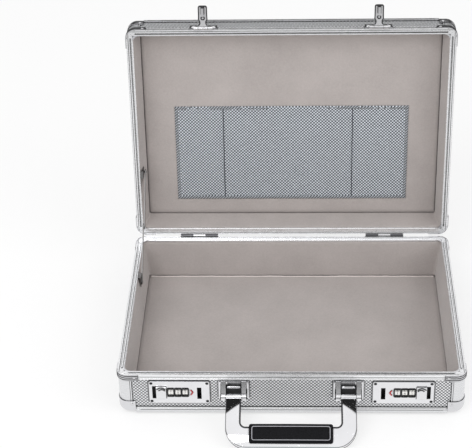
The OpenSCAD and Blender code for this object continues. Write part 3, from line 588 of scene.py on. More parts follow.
class Finish(Wiring):
    """A material under construction: its shader, its place on the piece and its groups."""

    def __init__(self, name, tilt=0.0):
        self.material = bpy.data.materials.new(name)
        self.material.use_nodes = True
        super().__init__(self.material.node_tree)
        self.shader = self.tree.nodes["Principled BSDF"]
        self.place = self.add("ShaderNodeTexCoord").outputs["Object"]
        self.tilt = tilt

    def group(self, name, **feeds):
        """The outputs of an effect's node group, which is built once."""
        tree = bpy.data.node_groups.get(name) or MAKERS[name](name)
        return self.add("ShaderNodeGroup", feeds, node_tree=tree).outputs

    def marks(self):
        return self.group("handling_marks", Place=self.place)

    def plan(self):
        """Place on the face, whose direction is read in the piece's own frame at any pose."""
        facing = self.add("ShaderNodeNewGeometry").outputs["True Normal"]
        normal = self.add("ShaderNodeVectorTransform", {"Vector": facing}, vector_type="NORMAL",
                          convert_from="WORLD", convert_to="OBJECT").outputs[0]
        return self.group("face_plan", Place=self.place, Normal=normal, Tilt=self.tilt)["Plan"]

    def cut(self):
        """Place on the cloth as it was cut."""
        return self.add("ShaderNodeUVMap", uv_map="cut").outputs["UV"]

    def set(self, **values):
        for key, value in values.items():
            self.feed(self.shader.inputs[key.replace("_", " ")], value)

    def shades(self, share, colour, first, second):
        """A colour that goes from first to second times its strength."""
        return self.mix(share, rgba(colour, first), rgba(colour, second))

    def crevice(self, reach, open_at=0.92):
        """1 deep in a groove or joint, 0 in the open, read from ambient occlusion; the finishes
        darken their colour by it as painted shade.
        """
        air = self.add("ShaderNodeAmbientOcclusion", {"Distance": reach}, samples=6).outputs["AO"]
        return self.span(air, open_at - 0.36, open_at, 1.0, 0.0)

    def bump(self, height, distance, strength=1.0):
        node = self.add("ShaderNodeBump", {"Height": height, "Distance": distance,
                                           "Strength": strength})
        self.set(Normal=node.outputs[0])
        return self.material


def rgba(colour, by=1.0):
    return (colour[0] * by, colour[1] * by, colour[2] * by, 1.0)


# ---- Finishes ----------------------------------------------------------------------

def rail_finish(name, colour, tilt):
    f = Finish(name, tilt)
    smudge, line = f.marks()["Smudge"], f.group("brushing", Plan=f.plan())["Line"]
    drawn = f.shades(f.span(line, 0.3, 0.7), colour, 0.93, 1.0)
    # Painted shade: the colour goes nearly black deep in grooves and joints
    f.set(Metallic=0.8, Base_Color=f.mix(f.crevice(3 * MM), drawn, rgba(colour, 0.03)),
          Roughness=f.plus(f.span(line, 0.3, 0.7, 0.20, 0.28), f.times(smudge, 0.07)))
    return f.bump(line, 0.00003)


def bright_finish(name, colour, rough, worn=0.05):
    f = Finish(name)
    marks = f.marks()
    handled = f.shades(marks["Smudge"], colour, 1.0, 0.94)
    # Painted shade: the colour goes nearly black deep in grooves and joints; the smudges are real
    # handling marks
    f.set(Metallic=1.0, Base_Color=f.mix(f.crevice(2.2 * MM), handled, rgba(colour, 0.02)),
          Roughness=f.plus(f.span(marks["Smudge"], 0.0, 1.0, rough, rough + worn),
                           f.times(marks["Scratch"], 0.12)))
    return f.bump(marks["Scratch"], -0.00002)


def board_finish(name, colours, pitch, tilt):
    f = Finish(name, tilt)
    smudge = f.marks()["Smudge"]
    emboss = f.group("diamond_emboss", Plan=f.plan(), Pitch=pitch)
    # Painted shade: the emboss's hollows are darkened towards near black; the smudges are real
    # handling marks
    worn = f.mix(emboss["Hollow"], f.shades(smudge, colours.panel, 1.0, 0.95),
                 rgba(colours.panel_low))
    # Painted shade: darker still deep in grooves and joints, by ambient occlusion
    f.set(Metallic=0.6, Base_Color=f.mix(f.crevice(2 * MM), worn, rgba(colours.panel_low, 0.2)),
          Roughness=f.plus(f.span(emboss["Hollow"], 0.0, 1.0, 0.34, 0.55),
                           f.times(smudge, 0.06)))
    return f.bump(emboss["Height"], 0.0003)


def dark_finish(name, colour, rough):
    f = Finish(name)
    marks = f.marks()
    f.set(Metallic=0.6, Base_Color=f.shades(marks["Scratch"], colour, 1.0, 5.0),
          Roughness=f.span(marks["Smudge"], 0.0, 1.0, rough, rough + 0.15))
    return f.bump(marks["Scratch"], -0.00002)


def lining_finish(name, colours, lift=1.0):
    f = Finish(name)
    nap = f.group("brushed_nap", Place=f.place)
    fold = f.add("ShaderNodeAttribute", attribute_name="crease").outputs["Fac"]
    # The lining's colours times lift; a lift above 1 is a painted highlight
    pile = f.mix(nap["Laid"], rgba(colours.lining_dark, lift), rgba(colours.lining, lift))
    # The lining darkens where a point lies deep in a fold: painted shade, with a little dirt
    f.set(Base_Color=f.mix(f.span(fold, 0.3, 1.0), pile, rgba(colours.crease)),
          Roughness=f.span(nap["Laid"], 0.0, 1.0, 0.95, 0.82),
          Sheen_Weight=0.35, Sheen_Roughness=0.45, Specular_IOR_Level=0.2)
    return f.bump(nap["Height"], 0.0003, 0.7)


def mesh_finish(name, colours, pitch):
    f = Finish(name)
    weave = f.group("mesh_weave", Map=f.cut(), Pitch=pitch)
    thread = f.shades(weave["Fleck"], colours.mesh, 0.8, 1.2)
    # The gaps go near black, painted shade
    f.set(Base_Color=f.mix(weave["Thread"], rgba(colours.mesh_low), thread),
          Roughness=f.span(weave["Thread"], 0.0, 1.0, 0.9, 0.6),
          Sheen_Weight=0.2, Specular_IOR_Level=0.3)
    return f.bump(weave["Thread"], 0.0004)


def tape_finish(name, colour):
    """Tape overlocked with slanting stitches of dark thread."""
    f = Finish(name)
    flat, stitch_pitch = f.cut(), 0.0042
    thread = f.group("mesh_weave", Map=flat, Pitch=0.0011)["Thread"]
    at = f.split(flat)
    slant = f.times(f.plus(at["X"], at["Y"]), 2 * math.pi / stitch_pitch)
    stitch = f.span(f.sum("SINE", slant), -0.2, 0.2)
    f.set(Base_Color=f.mix(stitch, rgba(colour, 0.10), f.shades(thread, colour, 0.55, 1.0)),
          Roughness=0.8, Sheen_Weight=0.2)
    return f.bump(thread, 0.0002)


def grip_finish(name, colour):
    f = Finish(name)
    cells = f.add("ShaderNodeTexVoronoi", {"Vector": f.place, "Scale": 620.0},
                  feature="DISTANCE_TO_EDGE").outputs["Distance"]
    ridge = f.span(cells, 0.0, 0.22)
    f.set(Base_Color=f.shades(ridge, colour, 0.5, 1.3), Specular_IOR_Level=0.10,
          Roughness=f.plus(f.span(ridge, 0.0, 1.0, 0.62, 0.42),
                           f.times(f.marks()["Smudge"], 0.08)))
    return f.bump(ridge, 0.00009)


def plastic_finish(name, colour, rough):
    f = Finish(name)
    grain = f.noise(f.place, 700, 3)
    f.set(Base_Color=f.shades(grain, colour, 0.94, 1.04),
          Roughness=f.span(grain, 0.3, 0.7, rough, rough + 0.12))
    return f.bump(grain, 0.00002)


def floor_finish(name, colour):
    """Pale paper that the camera sees nearly white, with the object's shadow kept."""
    f = Finish(name)
    f.set(Base_Color=f.shades(f.noise(f.place, 60, 3), colour, 0.985, 1.0), Roughness=0.9,
          Specular_IOR_Level=0.1)
    path = f.add("ShaderNodeLightPath").outputs
    seen = path["Is Camera Ray"]
    away = f.add("ShaderNodeVectorMath", {0: f.place}, operation="LENGTH").outputs["Value"]
    glow = f.add("ShaderNodeEmission", {
        "Color": (1, 1, 1, 1), "Strength": f.most(seen, f.span(away, 0.85, 1.5, 0.95, 0.25))})
    gloss = f.times(path["Is Glossy Ray"], f.span(away, 0.2, 0.4, 0.85, 0.97))
    both = f.add("ShaderNodeMixShader", {0: f.most(f.times(seen, 0.62), gloss),
                                         1: f.shader.outputs[0], 2: glow.outputs[0]})
    f.feed(f.tree.nodes["Material Output"].inputs["Surface"], both.outputs[0])
    return f.material


# ---- Operators ---------------------------------------------------------------------

class Part:
    """What every operator here shares: the undo options and the two sets of values."""
    bl_options = {"REGISTER", "UNDO"}

    @property
    def sizes(self):
        return bpy.context.scene.case_sizes

    @property
    def colours(self):
        return bpy.context.scene.case_colours


class CASE_OT_finishes(Part, bpy.types.Operator):
    """Make every finish and give each piece of the frame its own"""
    bl_idname = "case.finishes"
    bl_label = "Finish the Frame"

    def execute(self, context):
        c = self.colours
        by_finish = []
        for end, part, flat, tilt in (("tray", "base", "bottom_board", 0.0),
                                      ("lid", "lid", "top_board", OPENING)):
            rail = rail_finish(f"satin_rail_{end}", c.rail, tilt)
            # Painted light: a lighter copy of the satin rail finish for the rims
            rim = rail_finish(f"painted_light_rim_{end}", c.rim, tilt)
            board = board_finish(f"embossed_board_{end}", c, self.sizes.emboss, tilt)
            by_finish += [(rim, [f"{part}_rim_rails"]),
                          (rail, [f"{part}_edge_rails", f"{part}_corner_posts"]),
                          (board, [flat, f"{part}_front_board", f"{part}_rear_board",
                                   f"{part}_side_boards"])]
        both = {name: [f"{name}_{side}" for side in SIDES] for name in (
            "lock_plate", "thumb_slide", "handle_bracket", "hasp_plate", "hasp",
            "dial_spindle", "lock_case")}
        by_finish += [
            (bright_finish("pressed_corner", c.corner, 0.16, 0.08),
             [f"{part}_{node}" for part in ("base", "lid")
              for node in ("rim_corners", "ball_corners", "rivets")]),
            (bright_finish("plated_hardware", c.chrome, 0.10),
             ["hinge_lid_leaves", "hinge_pins", *both["lock_plate"], *both["thumb_slide"],
              *both["handle_bracket"], *both["hasp_plate"], *both["hasp"]]),
            (bright_finish("mirror_plate", c.chrome, 0.012, 0.01), ["handle_frame"]),
            # Painted shade: the stay's dull steel is darkened to hide its pale reflection
            (bright_finish("dull_steel_painted_shade", c.steel, 0.42),
             ["stay_base_bracket", "stay_lid_bracket", "stay_lower_link", "stay_upper_link"]),
            (bright_finish("darkened_plate", c.worn, 0.22), ["hinge_base_leaves"]),
            (dark_finish("blackened_metal", c.black, 0.35),
             ["lock_screws", *both["dial_spindle"], "handle_pins", "hasp_pins"]),
            (dark_finish("blackened_lock_body", c.zinc, 0.5), both["lock_case"]),
            (plastic_finish("number_wheel", c.wheel, 0.28),
             [f"dial_{side}_{n}" for side in SIDES for n in (1, 2, 3)]),
        ]
        for material, nodes in by_finish:
            for node in nodes:
                dress(frame["nodes"][node], material)
        return {"FINISHED"}


class CASE_OT_tray_lining(Part, bpy.types.Operator):
    """Line the tray with padded walls and a padded floor"""
    bl_idname = "case.tray_lining"
    bl_label = "Line the Tray"

    def execute(self, context):
        line_shell(self, "tray", "floor", "base", (FLOOR_TOP, WALL_TOP), (FLOOR_LOW, FLOOR_TOP),
                   [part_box(f"lock_case_{side}") for side in SIDES])
        # The floor pad's gathered edge where it meets the rear wall: a bead of lining made lighter,
        # a painted highlight over the dark groove there
        steps, run = 150, []
        for k in range(steps + 1):
            x = (HALF_W - 17 * MM) * (2 * k / steps - 1)
            wave = ripple(x, 5.0, 2.0, 9 * MM)
            run.append(((x, HALF_D - 16.4 * MM + 0.35 * MM * wave,
                         FLOOR_TOP - 0.3 * MM + 0.30 * MM * wave), (0, -0.6, 0.8)))
        edge = bead("tray_floor_highlight_welt", [run], 1.2 * MM)
        mark_crease(edge, [0.0] * len(edge.data.vertices))
        fit(edge, lining_finish("tray_floor_highlight_welt_cloth", self.colours, 1.6), "tray")
        return {"FINISHED"}


class CASE_OT_lid_lining(Part, bpy.types.Operator):
    """Line the lid with padded walls and a padded panel"""
    bl_idname = "case.lid_lining"
    bl_label = "Line the Lid"

    def execute(self, context):
        line_shell(self, "lid", "panel", "lid", (LID_FLOOR, LID_WALL_TOP),
                   (LID_FLOOR - 1.8 * MM, LID_FLOOR), at=LID)
        return {"FINISHED"}


def map_cut(obj, points):
    """A UV map in metres, laid out as the cloth was cut."""
    layer = obj.data.uv_layers.new(name="cut")
    for loop in obj.data.loops:
        layer.data[loop.index].uv = points[loop.vertex_index]


class CASE_OT_pocket(Part, bpy.types.Operator):
    """Sew the mesh pocket to the lid's panel, and let it settle"""
    bl_idname = "case.pocket"
    bl_label = "Sew the Pocket"

    def execute(self, context):
        (x0, y0, _), (x1, y1, _) = POCKET
        nx, ny = 112, 46
        cut = grid_points(nx, ny, (x0, y0), (x1, y1))
        at, tight = [], []
        for k, (x, y) in enumerate(cut):
            sewn = min(abs(x - SEAMS[0]), abs(x - SEAMS[1]), x - x0, x1 - x, y1 - y)
            slack = min(1.0, sewn / (30 * MM))
            at.append((x, y, LID_FLOOR + 0.9 * MM + self.sizes.crown * 1.6 * slack
                       + 0.25 * MM * slack * ripple(x, y, 5.0, 30 * MM)))
            if sewn < 1.6 * MM or y - y0 < 0.5 * MM and k % 3 == 0:
                tight.append(k)
        cloth = piece("pocket_mesh", at, grid_faces(nx, ny), LID)
        map_cut(cloth, cut)
        cloth.vertex_groups.new(name="sewn").add(tight, 1.0, "REPLACE")
        self.settle(cloth, context.scene)
        applied(cloth, "SOLIDIFY", thickness=0.5 * MM, offset=0.0)
        cloth.vertex_groups.clear()
        fit(cloth, mesh_finish("pocket_mesh_cloth", self.colours, self.sizes.weave), "lid",
            "lid_pocket")
        hems = self.hems()
        self.seams()
        return {"FINISHED"}

    def settle(self, cloth, scene):
        """Lets the cloth hang, then keeps it near its place and off the panel."""
        before = [v.co.copy() for v in cloth.data.vertices]
        cover = cloth.modifiers.new("settle", "CLOTH")
        for key, value in (("quality", 5), ("mass", 0.2), ("tension_stiffness", 12),
                           ("compression_stiffness", 12), ("bending_stiffness", 0.6),
                           ("vertex_group_mass", "sewn"), ("shrink_min", -0.012)):
            setattr(cover.settings, key, value)
        cover.settings.effector_weights.gravity = 0.25
        cover.point_cache.frame_start, cover.point_cache.frame_end = 1, self.sizes.settle
        for step in range(1, self.sizes.settle + 1):
            scene.frame_set(step)
        take(cloth)
        bpy.ops.object.modifier_apply(modifier="settle")
        scene.frame_set(1)
        up = (LID.to_3x3() @ Vector(UP)).normalized()
        base = (LID @ Vector((0, 0, LID_FLOOR + 0.75 * MM))).dot(up)
        farthest = 3 * MM
        for v, old in zip(cloth.data.vertices, before):
            moved = v.co - old
            if moved.length > farthest:
                v.co = old + moved.normalized() * farthest
            v.co += up * max(0.0, base - v.co.dot(up))

    def seams(self):
        """Two dark cords sewn down the pocket."""
        low, high = POCKET
        points, faces, ring, steps = [], [], 8, 60
        for x in SEAMS:
            faces += tube_faces(steps + 1, ring, len(points))
            for j in range(steps + 1):
                y = low.y + 3 * MM + (high.y - low.y - 6 * MM) * j / steps
                sway = 0.35 * MM * ripple(x, y, 9.0, 22 * MM)
                for k in range(ring):
                    a = 2 * math.pi * k / ring
                    points.append((x + sway + 0.75 * MM * math.cos(a), y,
                                   LID_FLOOR + 1.35 * MM + 0.55 * MM * math.sin(a)))
        fit(piece("pocket_seams", points, faces, LID),
            plastic_finish("seam_thread", self.colours.seam, 0.7), "lid")

    def hems(self):
        """Puffed tapes along the pocket's four edges."""
        (x0, y0, _), (x1, y1, _) = POCKET
        tapes = [(x0, x1, y0, y0 + 5 * MM, 0), (x0, x1, y1 - 5 * MM, y1, 0)]
        tapes += [(a, a + 4 * MM, y0 + 5 * MM, y1 - 5 * MM, 1) for a in (x0, x1 - 4 * MM)]
        points, faces = [], []
        for a, b, c, d, upright in tapes:
            nx, ny = max(2, round((b - a) / (3 * MM))), max(2, round((d - c) / (3 * MM)))
            faces += slab_faces(nx, ny, len(points))
            grid = grid_points(nx, ny, (a, c), (b, d))
            for x, y in grid:
                edge = min(x - a, b - x) if upright else min(y - c, d - y)
                puff = 0.35 * MM * min(1.0, edge / (1.2 * MM))
                puff += 0.12 * MM * ripple(x, y, 2.0, 8 * MM)
                points.append((x, y, LID_FLOOR + 1.55 * MM + puff))
            points += [(x, y, LID_FLOOR + 1.2 * MM) for x, y in grid]
        tape = piece("pocket_tapes", points, faces, LID)
        map_cut(tape, [point[:2] for point in points])
        return fit(tape, tape_finish("pocket_tape_cloth", self.colours.hem), "lid",
                   "pocket_hems")


# ---- Handle ------------------------------------------------------------------------

DIP, ARCH = math.radians(28), 6 * MM   # how far the handle hangs down, and how far it bows
REACH, BAR, ARM, PLATE = 71 * MM, 26.5 * MM, 20 * MM, 6 * MM
ARCH_R = (REACH * REACH / 4 + ARCH * ARCH) / (2 * ARCH)
SWING = Matrix.Translation((0, -HALF_D - 8 * MM, 37.2 * MM)) @ Matrix.Rotation(DIP, 4, "X")


def bow(s, lift=0.0):
    """Height of the bowed handle at s from its pivot, lift above its middle."""
    return ARCH - ARCH_R + math.sqrt((ARCH_R + lift) ** 2 - (s - REACH / 2) ** 2)


class CASE_OT_grip(Part, bpy.types.Operator):
    """Wrap the handle's bar in a soft black grip, and line the handle's edges with painted shade"""
    bl_idname = "case.grip"
    bl_label = "Wrap the Grip"

    THICK, SQUARE_S, SQUARE_Z, CROWN = 11 * MM, 0.34, 0.55, 0.5 * MM
    NEAR, FAR = REACH - BAR - THICK / 4, REACH - 4.5 * MM
    MIDDLE, WIDE = (NEAR + FAR) / 2 - 0.6 * MM, (FAR - NEAR) / 2 + 0.6 * MM

    def execute(self, context):
        low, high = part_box("handle_grip")
        self.wrap((high.x - low.x) / 2)
        self.line((high.x - low.x) / 2)
        self.edges((high.x - low.x) / 2)
        return {"FINISHED"}

    def wrap(self, half):
        """Soft-cornered oblongs round the bar, closed at both ends."""
        ring, columns = 40, 72
        rows = [(-half + 0.05 * MM, 3.4 * MM), (-half + 0.35 * MM, 1.7 * MM),
                (-half + 1.2 * MM, 0.5 * MM)]
        rows += [(-half + 2.6 * MM + (2 * half - 5.2 * MM) * k / columns, 0.0)
                 for k in range(columns + 1)]
        rows += [(-x, d) for x, d in reversed(rows[:3])]
        points = []
        for x, shrink in rows:
            for k in range(ring):
                t = 2 * math.pi * k / ring
                c, d = math.cos(t), math.sin(t)
                s = self.MIDDLE + (self.WIDE - shrink) * math.copysign(abs(c) ** self.SQUARE_S, c)
                z = (self.THICK / 2 - shrink) * math.copysign(abs(d) ** self.SQUARE_Z, d)
                z += self.CROWN * (1 - (x / half) ** 2) * (d > 0)
                z += 0.08 * MM * ripple(x, s, 4.0 + d, 18 * MM)
                points.append((x, -s, bow(s) + z))
        grip = outwards(piece("soft_grip", points, tube_faces(len(rows), ring), SWING))
        fit(grip, grip_finish("soft_grip_skin", self.colours.grip), "handle",
            "handle_grip")

    def line(self, half):
        """A pale raised line round the grip's face that looks up, a painted highlight."""
        inset, corner = 4.2 * MM, 2.5 * MM
        x1 = half - inset - corner
        s0, s1 = self.NEAR + inset * 0.75 + corner, self.FAR - inset - corner
        path = (arc(x1, s1, corner, 0, 90, 5) + arc(-x1, s1, corner, 90, 180, 5)
                + arc(-x1, s0, corner, 180, 270, 5) + arc(x1, s0, corner, 270, 360, 5))
        path.append(path[0])
        dense = []
        for (xa, sa), (xb, sb) in zip(path, path[1:]):
            steps = max(1, round(math.hypot(xb - xa, sb - sa) / (2 * MM)))
            dense += [(xa + (xb - xa) * k / steps, sa + (sb - sa) * k / steps)
                      for k in range(steps)]
        run = []
        for x, s in dense + [path[0]]:
            c = min(1.0, abs((s - self.MIDDLE) / self.WIDE))
            d = math.sqrt(max(0.0, 1 - c ** (2 / self.SQUARE_S)))
            z = self.THICK / 2 * d ** self.SQUARE_Z + self.CROWN * (1 - (x / half) ** 2)
            run.append(((x, -s, bow(s) + z - 0.05 * MM), UP))
        fit(bead("grip_line", [run], 0.45 * MM, SWING),
            plastic_finish("grip_line_painted_highlight", self.colours.piping, 0.5), "handle")

    def edges(self, grip_half):
        """Dark lines along the edges of the handle's flat frame, painted shade."""
        side, start, outer_r, inner_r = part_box("handle_frame")[1].x, 7 * MM, 27 * MM, 6 * MM

        def path(proud, end, radius, middle):
            """Down an arm's edge, round the corner and along the bar to the middle."""
            x, s = side + proud - radius, end - radius
            found = [(side + proud, start + (s - start) * k / 24) for k in range(24)]
            found += arc(x, s, radius, 0, 90, 12)
            steps = max(1, round((x - middle) / (3 * MM)))
            return found + [(x - (x - middle) * (k + 1) / steps, end) for k in range(steps)]

        def laid(points, lift):
            return [((x, -s, bow(s, lift)), UP) for x, s in points]

        def turned(points):
            return [(-x, s) for x, s in points]

        top = PLATE / 2 - 0.05 * MM
        outer = path(-0.5 * MM, REACH - 0.5 * MM, outer_r - 0.5 * MM, 0)
        under = path(-0.1 * MM, REACH + 0.1 * MM, outer_r, 0)
        inner = path(1 * MM - ARM, REACH - BAR + 1 * MM, inner_r + 1 * MM, grip_half - 1 * MM)
        rounds = [laid(outer + turned(reversed(outer)), top),
                  laid(under + turned(reversed(under)), 0.35 * MM - PLATE / 2)]
        sides = [laid(inner, top), laid(turned(inner), top)]
        for line, runs, half, shade, colour in (
                ("outer", rounds, 0.4 * MM, "edge", self.colours.edge),
                ("inner", sides, 1.05 * MM, "inner", self.colours.black)):
            fit(bead(f"handle_{line}_lines", runs, half, SWING),
                dark_finish(f"handle_{shade}_shade", colour, 0.4), "handle")


class CASE_OT_figures(Part, bpy.types.Operator):
    """Print the figures 0 to 9 round each number wheel"""
    bl_idname = "case.figures"
    bl_label = "Print the Figures"

    def execute(self, context):
        ink = plastic_finish("wheel_ink", self.colours.figure, 0.4)
        for side in SIDES:
            for n in (1, 2, 3):
                self.wheel(side, n, ink)
        return {"FINISHED"}

    def wheel(self, side, n, ink):
        low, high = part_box(f"dial_{side}_{n}")
        middle, radius = (low + high) / 2, (high.z - low.z) / 2
        out, each = radius + 0.03 * MM, 36
        bm = bmesh.new()
        for digit in range(10):
            curve = bpy.data.curves.new("figure", "FONT")
            curve.body, curve.align_x, curve.align_y = str(digit), "CENTER", "CENTER"
            curve.size, curve.resolution_u = self.sizes.figure_h * 1.4, 2
            take(linked("figure", curve))
            bpy.ops.object.convert(target="MESH")
            text = bpy.context.object
            turn = math.radians(each * (digit + 3 * n))
            for v in text.data.vertices:
                angle = turn + v.co.y / radius
                v.co = (middle.x + v.co.x * 1.25, middle.y - out * math.cos(angle),
                        middle.z + out * math.sin(angle))
            bm.from_mesh(text.data)
            bpy.data.objects.remove(text)
        mesh = bpy.data.meshes.new(f"figures_{side}_{n}")
        bm.to_mesh(mesh)
        bm.free()
        fit(linked(mesh.name, mesh), ink, f"wheel_{side}_{n}")


# ---- Lines and trim ----------------------------------------------------------------

def corner_run(z, proud, sx, sy, face=None):
    """Points round one upright corner of the case at height z, proud of its outside."""
    radius, reach = 13 * MM, 27 * MM
    spots = [(HALF_W - reach, HALF_D + proud, 0, 1)]
    for x, y in arc(0, 0, 1, 90, 0, 8):
        spots.append((HALF_W - radius + (radius + proud) * x,
                      HALF_D - radius + (radius + proud) * y, x, y))
    spots.append((HALF_W + proud, HALF_D - reach, 1, 0))
    return [((sx * x, sy * y, z), face or (sx * nx, sy * ny, 0)) for x, y, nx, ny in spots]


def side_runs(out_x, out_y, reach_x, reach_y, z, face=None):
    """A straight run along each side at height z, which faces outwards or as given."""
    runs = []
    for s in WAYS:
        runs += [[((x, s * out_y, z), face or (0, s, 0)) for x in (-reach_x, reach_x)],
                 [((s * out_x, y, z), face or (s, 0, 0)) for y in (-reach_y, reach_y)]]
    return runs


class CASE_OT_seals(Part, bpy.types.Operator):
    """Lay black seals where the panels meet the rails, partly painted shade in the joints, dark
    lines of painted shade and grime along the rails, and dark lines of painted shade round the
    corners
    """
    bl_idname = "case.seals"
    bl_label = "Lay the Seals"

    def execute(self, context):
        # Black for the seals, partly painted shade in the joints, and for the lines, painted shade
        # with some grime
        rubber = plastic_finish("seal_and_shade_rubber", self.colours.seal, 0.6)
        post_x, post_y, past = HALF_W - 18 * MM, HALF_D - 18 * MM, 0.4 * MM
        low = 12 * MM + past
        for body, height, at in SHELLS:
            top = height - 8.35 * MM
            runs, turns = self.rail_lines(height), []
            for z in (low, top):
                runs += side_runs(BOARD_SIDE, -BOARD_FRONT, post_x, post_y, z)
            for sx in WAYS:
                for sy in WAYS:
                    x, y = sx * (post_x - past), sy * (post_y - past)
                    runs += [[((x, sy * -BOARD_FRONT, z), (0, sy, 0)) for z in (low, top)],
                             [((sx * BOARD_SIDE, y, z), (sx, 0, 0)) for z in (low, top)]]
                    # Painted shade: dark arcs in the grooves round the pressed corners
                    turns += [corner_run(height - drop * MM, 1.05 * MM, sx, sy)
                              for drop in (7.4, 4.4, 1.4)]
                    # Painted shade: dark lines round each corner on the rim's top
                    runs += [corner_run(height - 0.30 * MM, -inset * MM, sx, sy, UP)
                             for inset in (2.3, 7.5)]
            fit(bead(f"{body}_corner_shade_lines", turns, 0.8 * MM, at), rubber, body)
            fit(bead(f"{body}_seals", runs, 0.42 * MM, at), rubber, body)
        return {"FINISHED"}

    def rail_lines(self, height):
        """Dark lines of painted shade and grime drawn in the rails' grooves, between the corners.
        """
        x, y, sunk, head_in = HALF_W - 28 * MM, HALF_D - 28 * MM, 0.15 * MM, 2.34 * MM
        runs = [[((s * (HALF_W - 0.1 * MM), along, height - 0.5 * MM), (s, 0, 0.3))
                 for along in (-y, y)] for s in WAYS]
        for z in (height - 3.6 * MM, 7.44 * MM):
            runs += side_runs(HALF_W - sunk, HALF_D - sunk, x, y, z)
        return runs + side_runs(HALF_W - head_in, HALF_D - head_in, x, y, height - 0.32 * MM, UP)


class CASE_OT_gussets(Part, bpy.types.Operator):
    """Round the inner corners of both rims"""
    bl_idname = "case.gussets"
    bl_label = "Round the Rims"

    def execute(self, context):
        x, y, r = HALF_W - 8.6 * MM, HALF_D - 8.6 * MM, 10 * MM
        outline = [(x, y - r), (x, y), *arc(x - r, y - r, r, 90, 0, 10)[:-1]]
        for end, height, at in SHELLS:
            metal = bright_finish(f"gusset_plate_{end}", self.colours.corner, 0.2)
            lift = (at.to_3x3() @ Vector(UP)) * 1.5 * MM
            for n, (sx, sy) in enumerate(((-1, -1), (1, -1), (1, 1), (-1, 1)), 1):
                points = [(sx * px, sy * py, height - 1.7 * MM) for px, py in outline]
                obj = outwards(piece(f"rim_gusset_{end}_{n}", points,
                                     [tuple(range(len(points)))], at, smooth=False),
                               extrude_region_move=pull(lift))
                applied(obj, "BEVEL", width=0.3 * MM, segments=2, limit_method="ANGLE")
                fit(obj, metal, end)
        return {"FINISHED"}


class CASE_OT_hasp_trim(Part, bpy.types.Operator):
    """Line the hasps' edges and ring their eyes in black: painted dark reflection along the chrome
    edges and painted shade in the eyes
    """
    bl_idname = "case.hasp_trim"
    bl_label = "Trim the Hasps"

    def execute(self, context):
        black = dark_finish("hasp_edge_reflection_and_shade", self.colours.black, 0.4)
        face, eye, tip_r = 46.75 * MM, 2.3 * MM, 2.3 * MM
        for side in SIDES:
            low, high = lid_box(f"hasp_{side}")
            middle, half, tip = (low.x + high.x) / 2, (high.x - low.x) / 2 - 0.75 * MM, low.y
            root = tip + 33 * MM
            rim = arc(9.8 * MM, root - 8.5 * MM, 5.7 * MM, 132.5, 227.5, 8)
            rim += [(half, tip + 14 * MM), (half, tip + 7 * MM)]
            rim += arc(half - tip_r, tip + 3.1 * MM, tip_r, 0, -90, 5)
            rim += [(-x, y) for x, y in reversed(rim)]
            runs = [[((middle + x, y, face), UP) for x, y in line]
                    for line in (rim, arc(0, root - 15 * MM, eye, 0, 360, 16))]
            fit(bead(f"hasp_edging_{side}", runs, 0.7 * MM, LID), black, f"hasp_{side[0]}")
        return {"FINISHED"}


def frame_ring(name, low, high, face_y, depth, width, radius):
    """A flat frame round an upright oblong, standing proud of face_y towards -y."""
    take()
    bpy.ops.mesh.primitive_plane_add(size=1, location=(0, 0, 0), rotation=(math.pi / 2, 0, 0))
    wide, tall = high.x - low.x, high.z - low.z
    obj = placed(name, (wide + 2 * width, tall + 2 * width, 1),
                 ((low.x + high.x) / 2, face_y, (low.z + high.z) / 2))
    return outwards(obj, bevel={"offset": radius + width, "segments": 4, "affect": "VERTICES"},
                    inset={"thickness": width}, delete={"type": "FACE"},
                    extrude_region_move=pull((0, -depth, 0)))


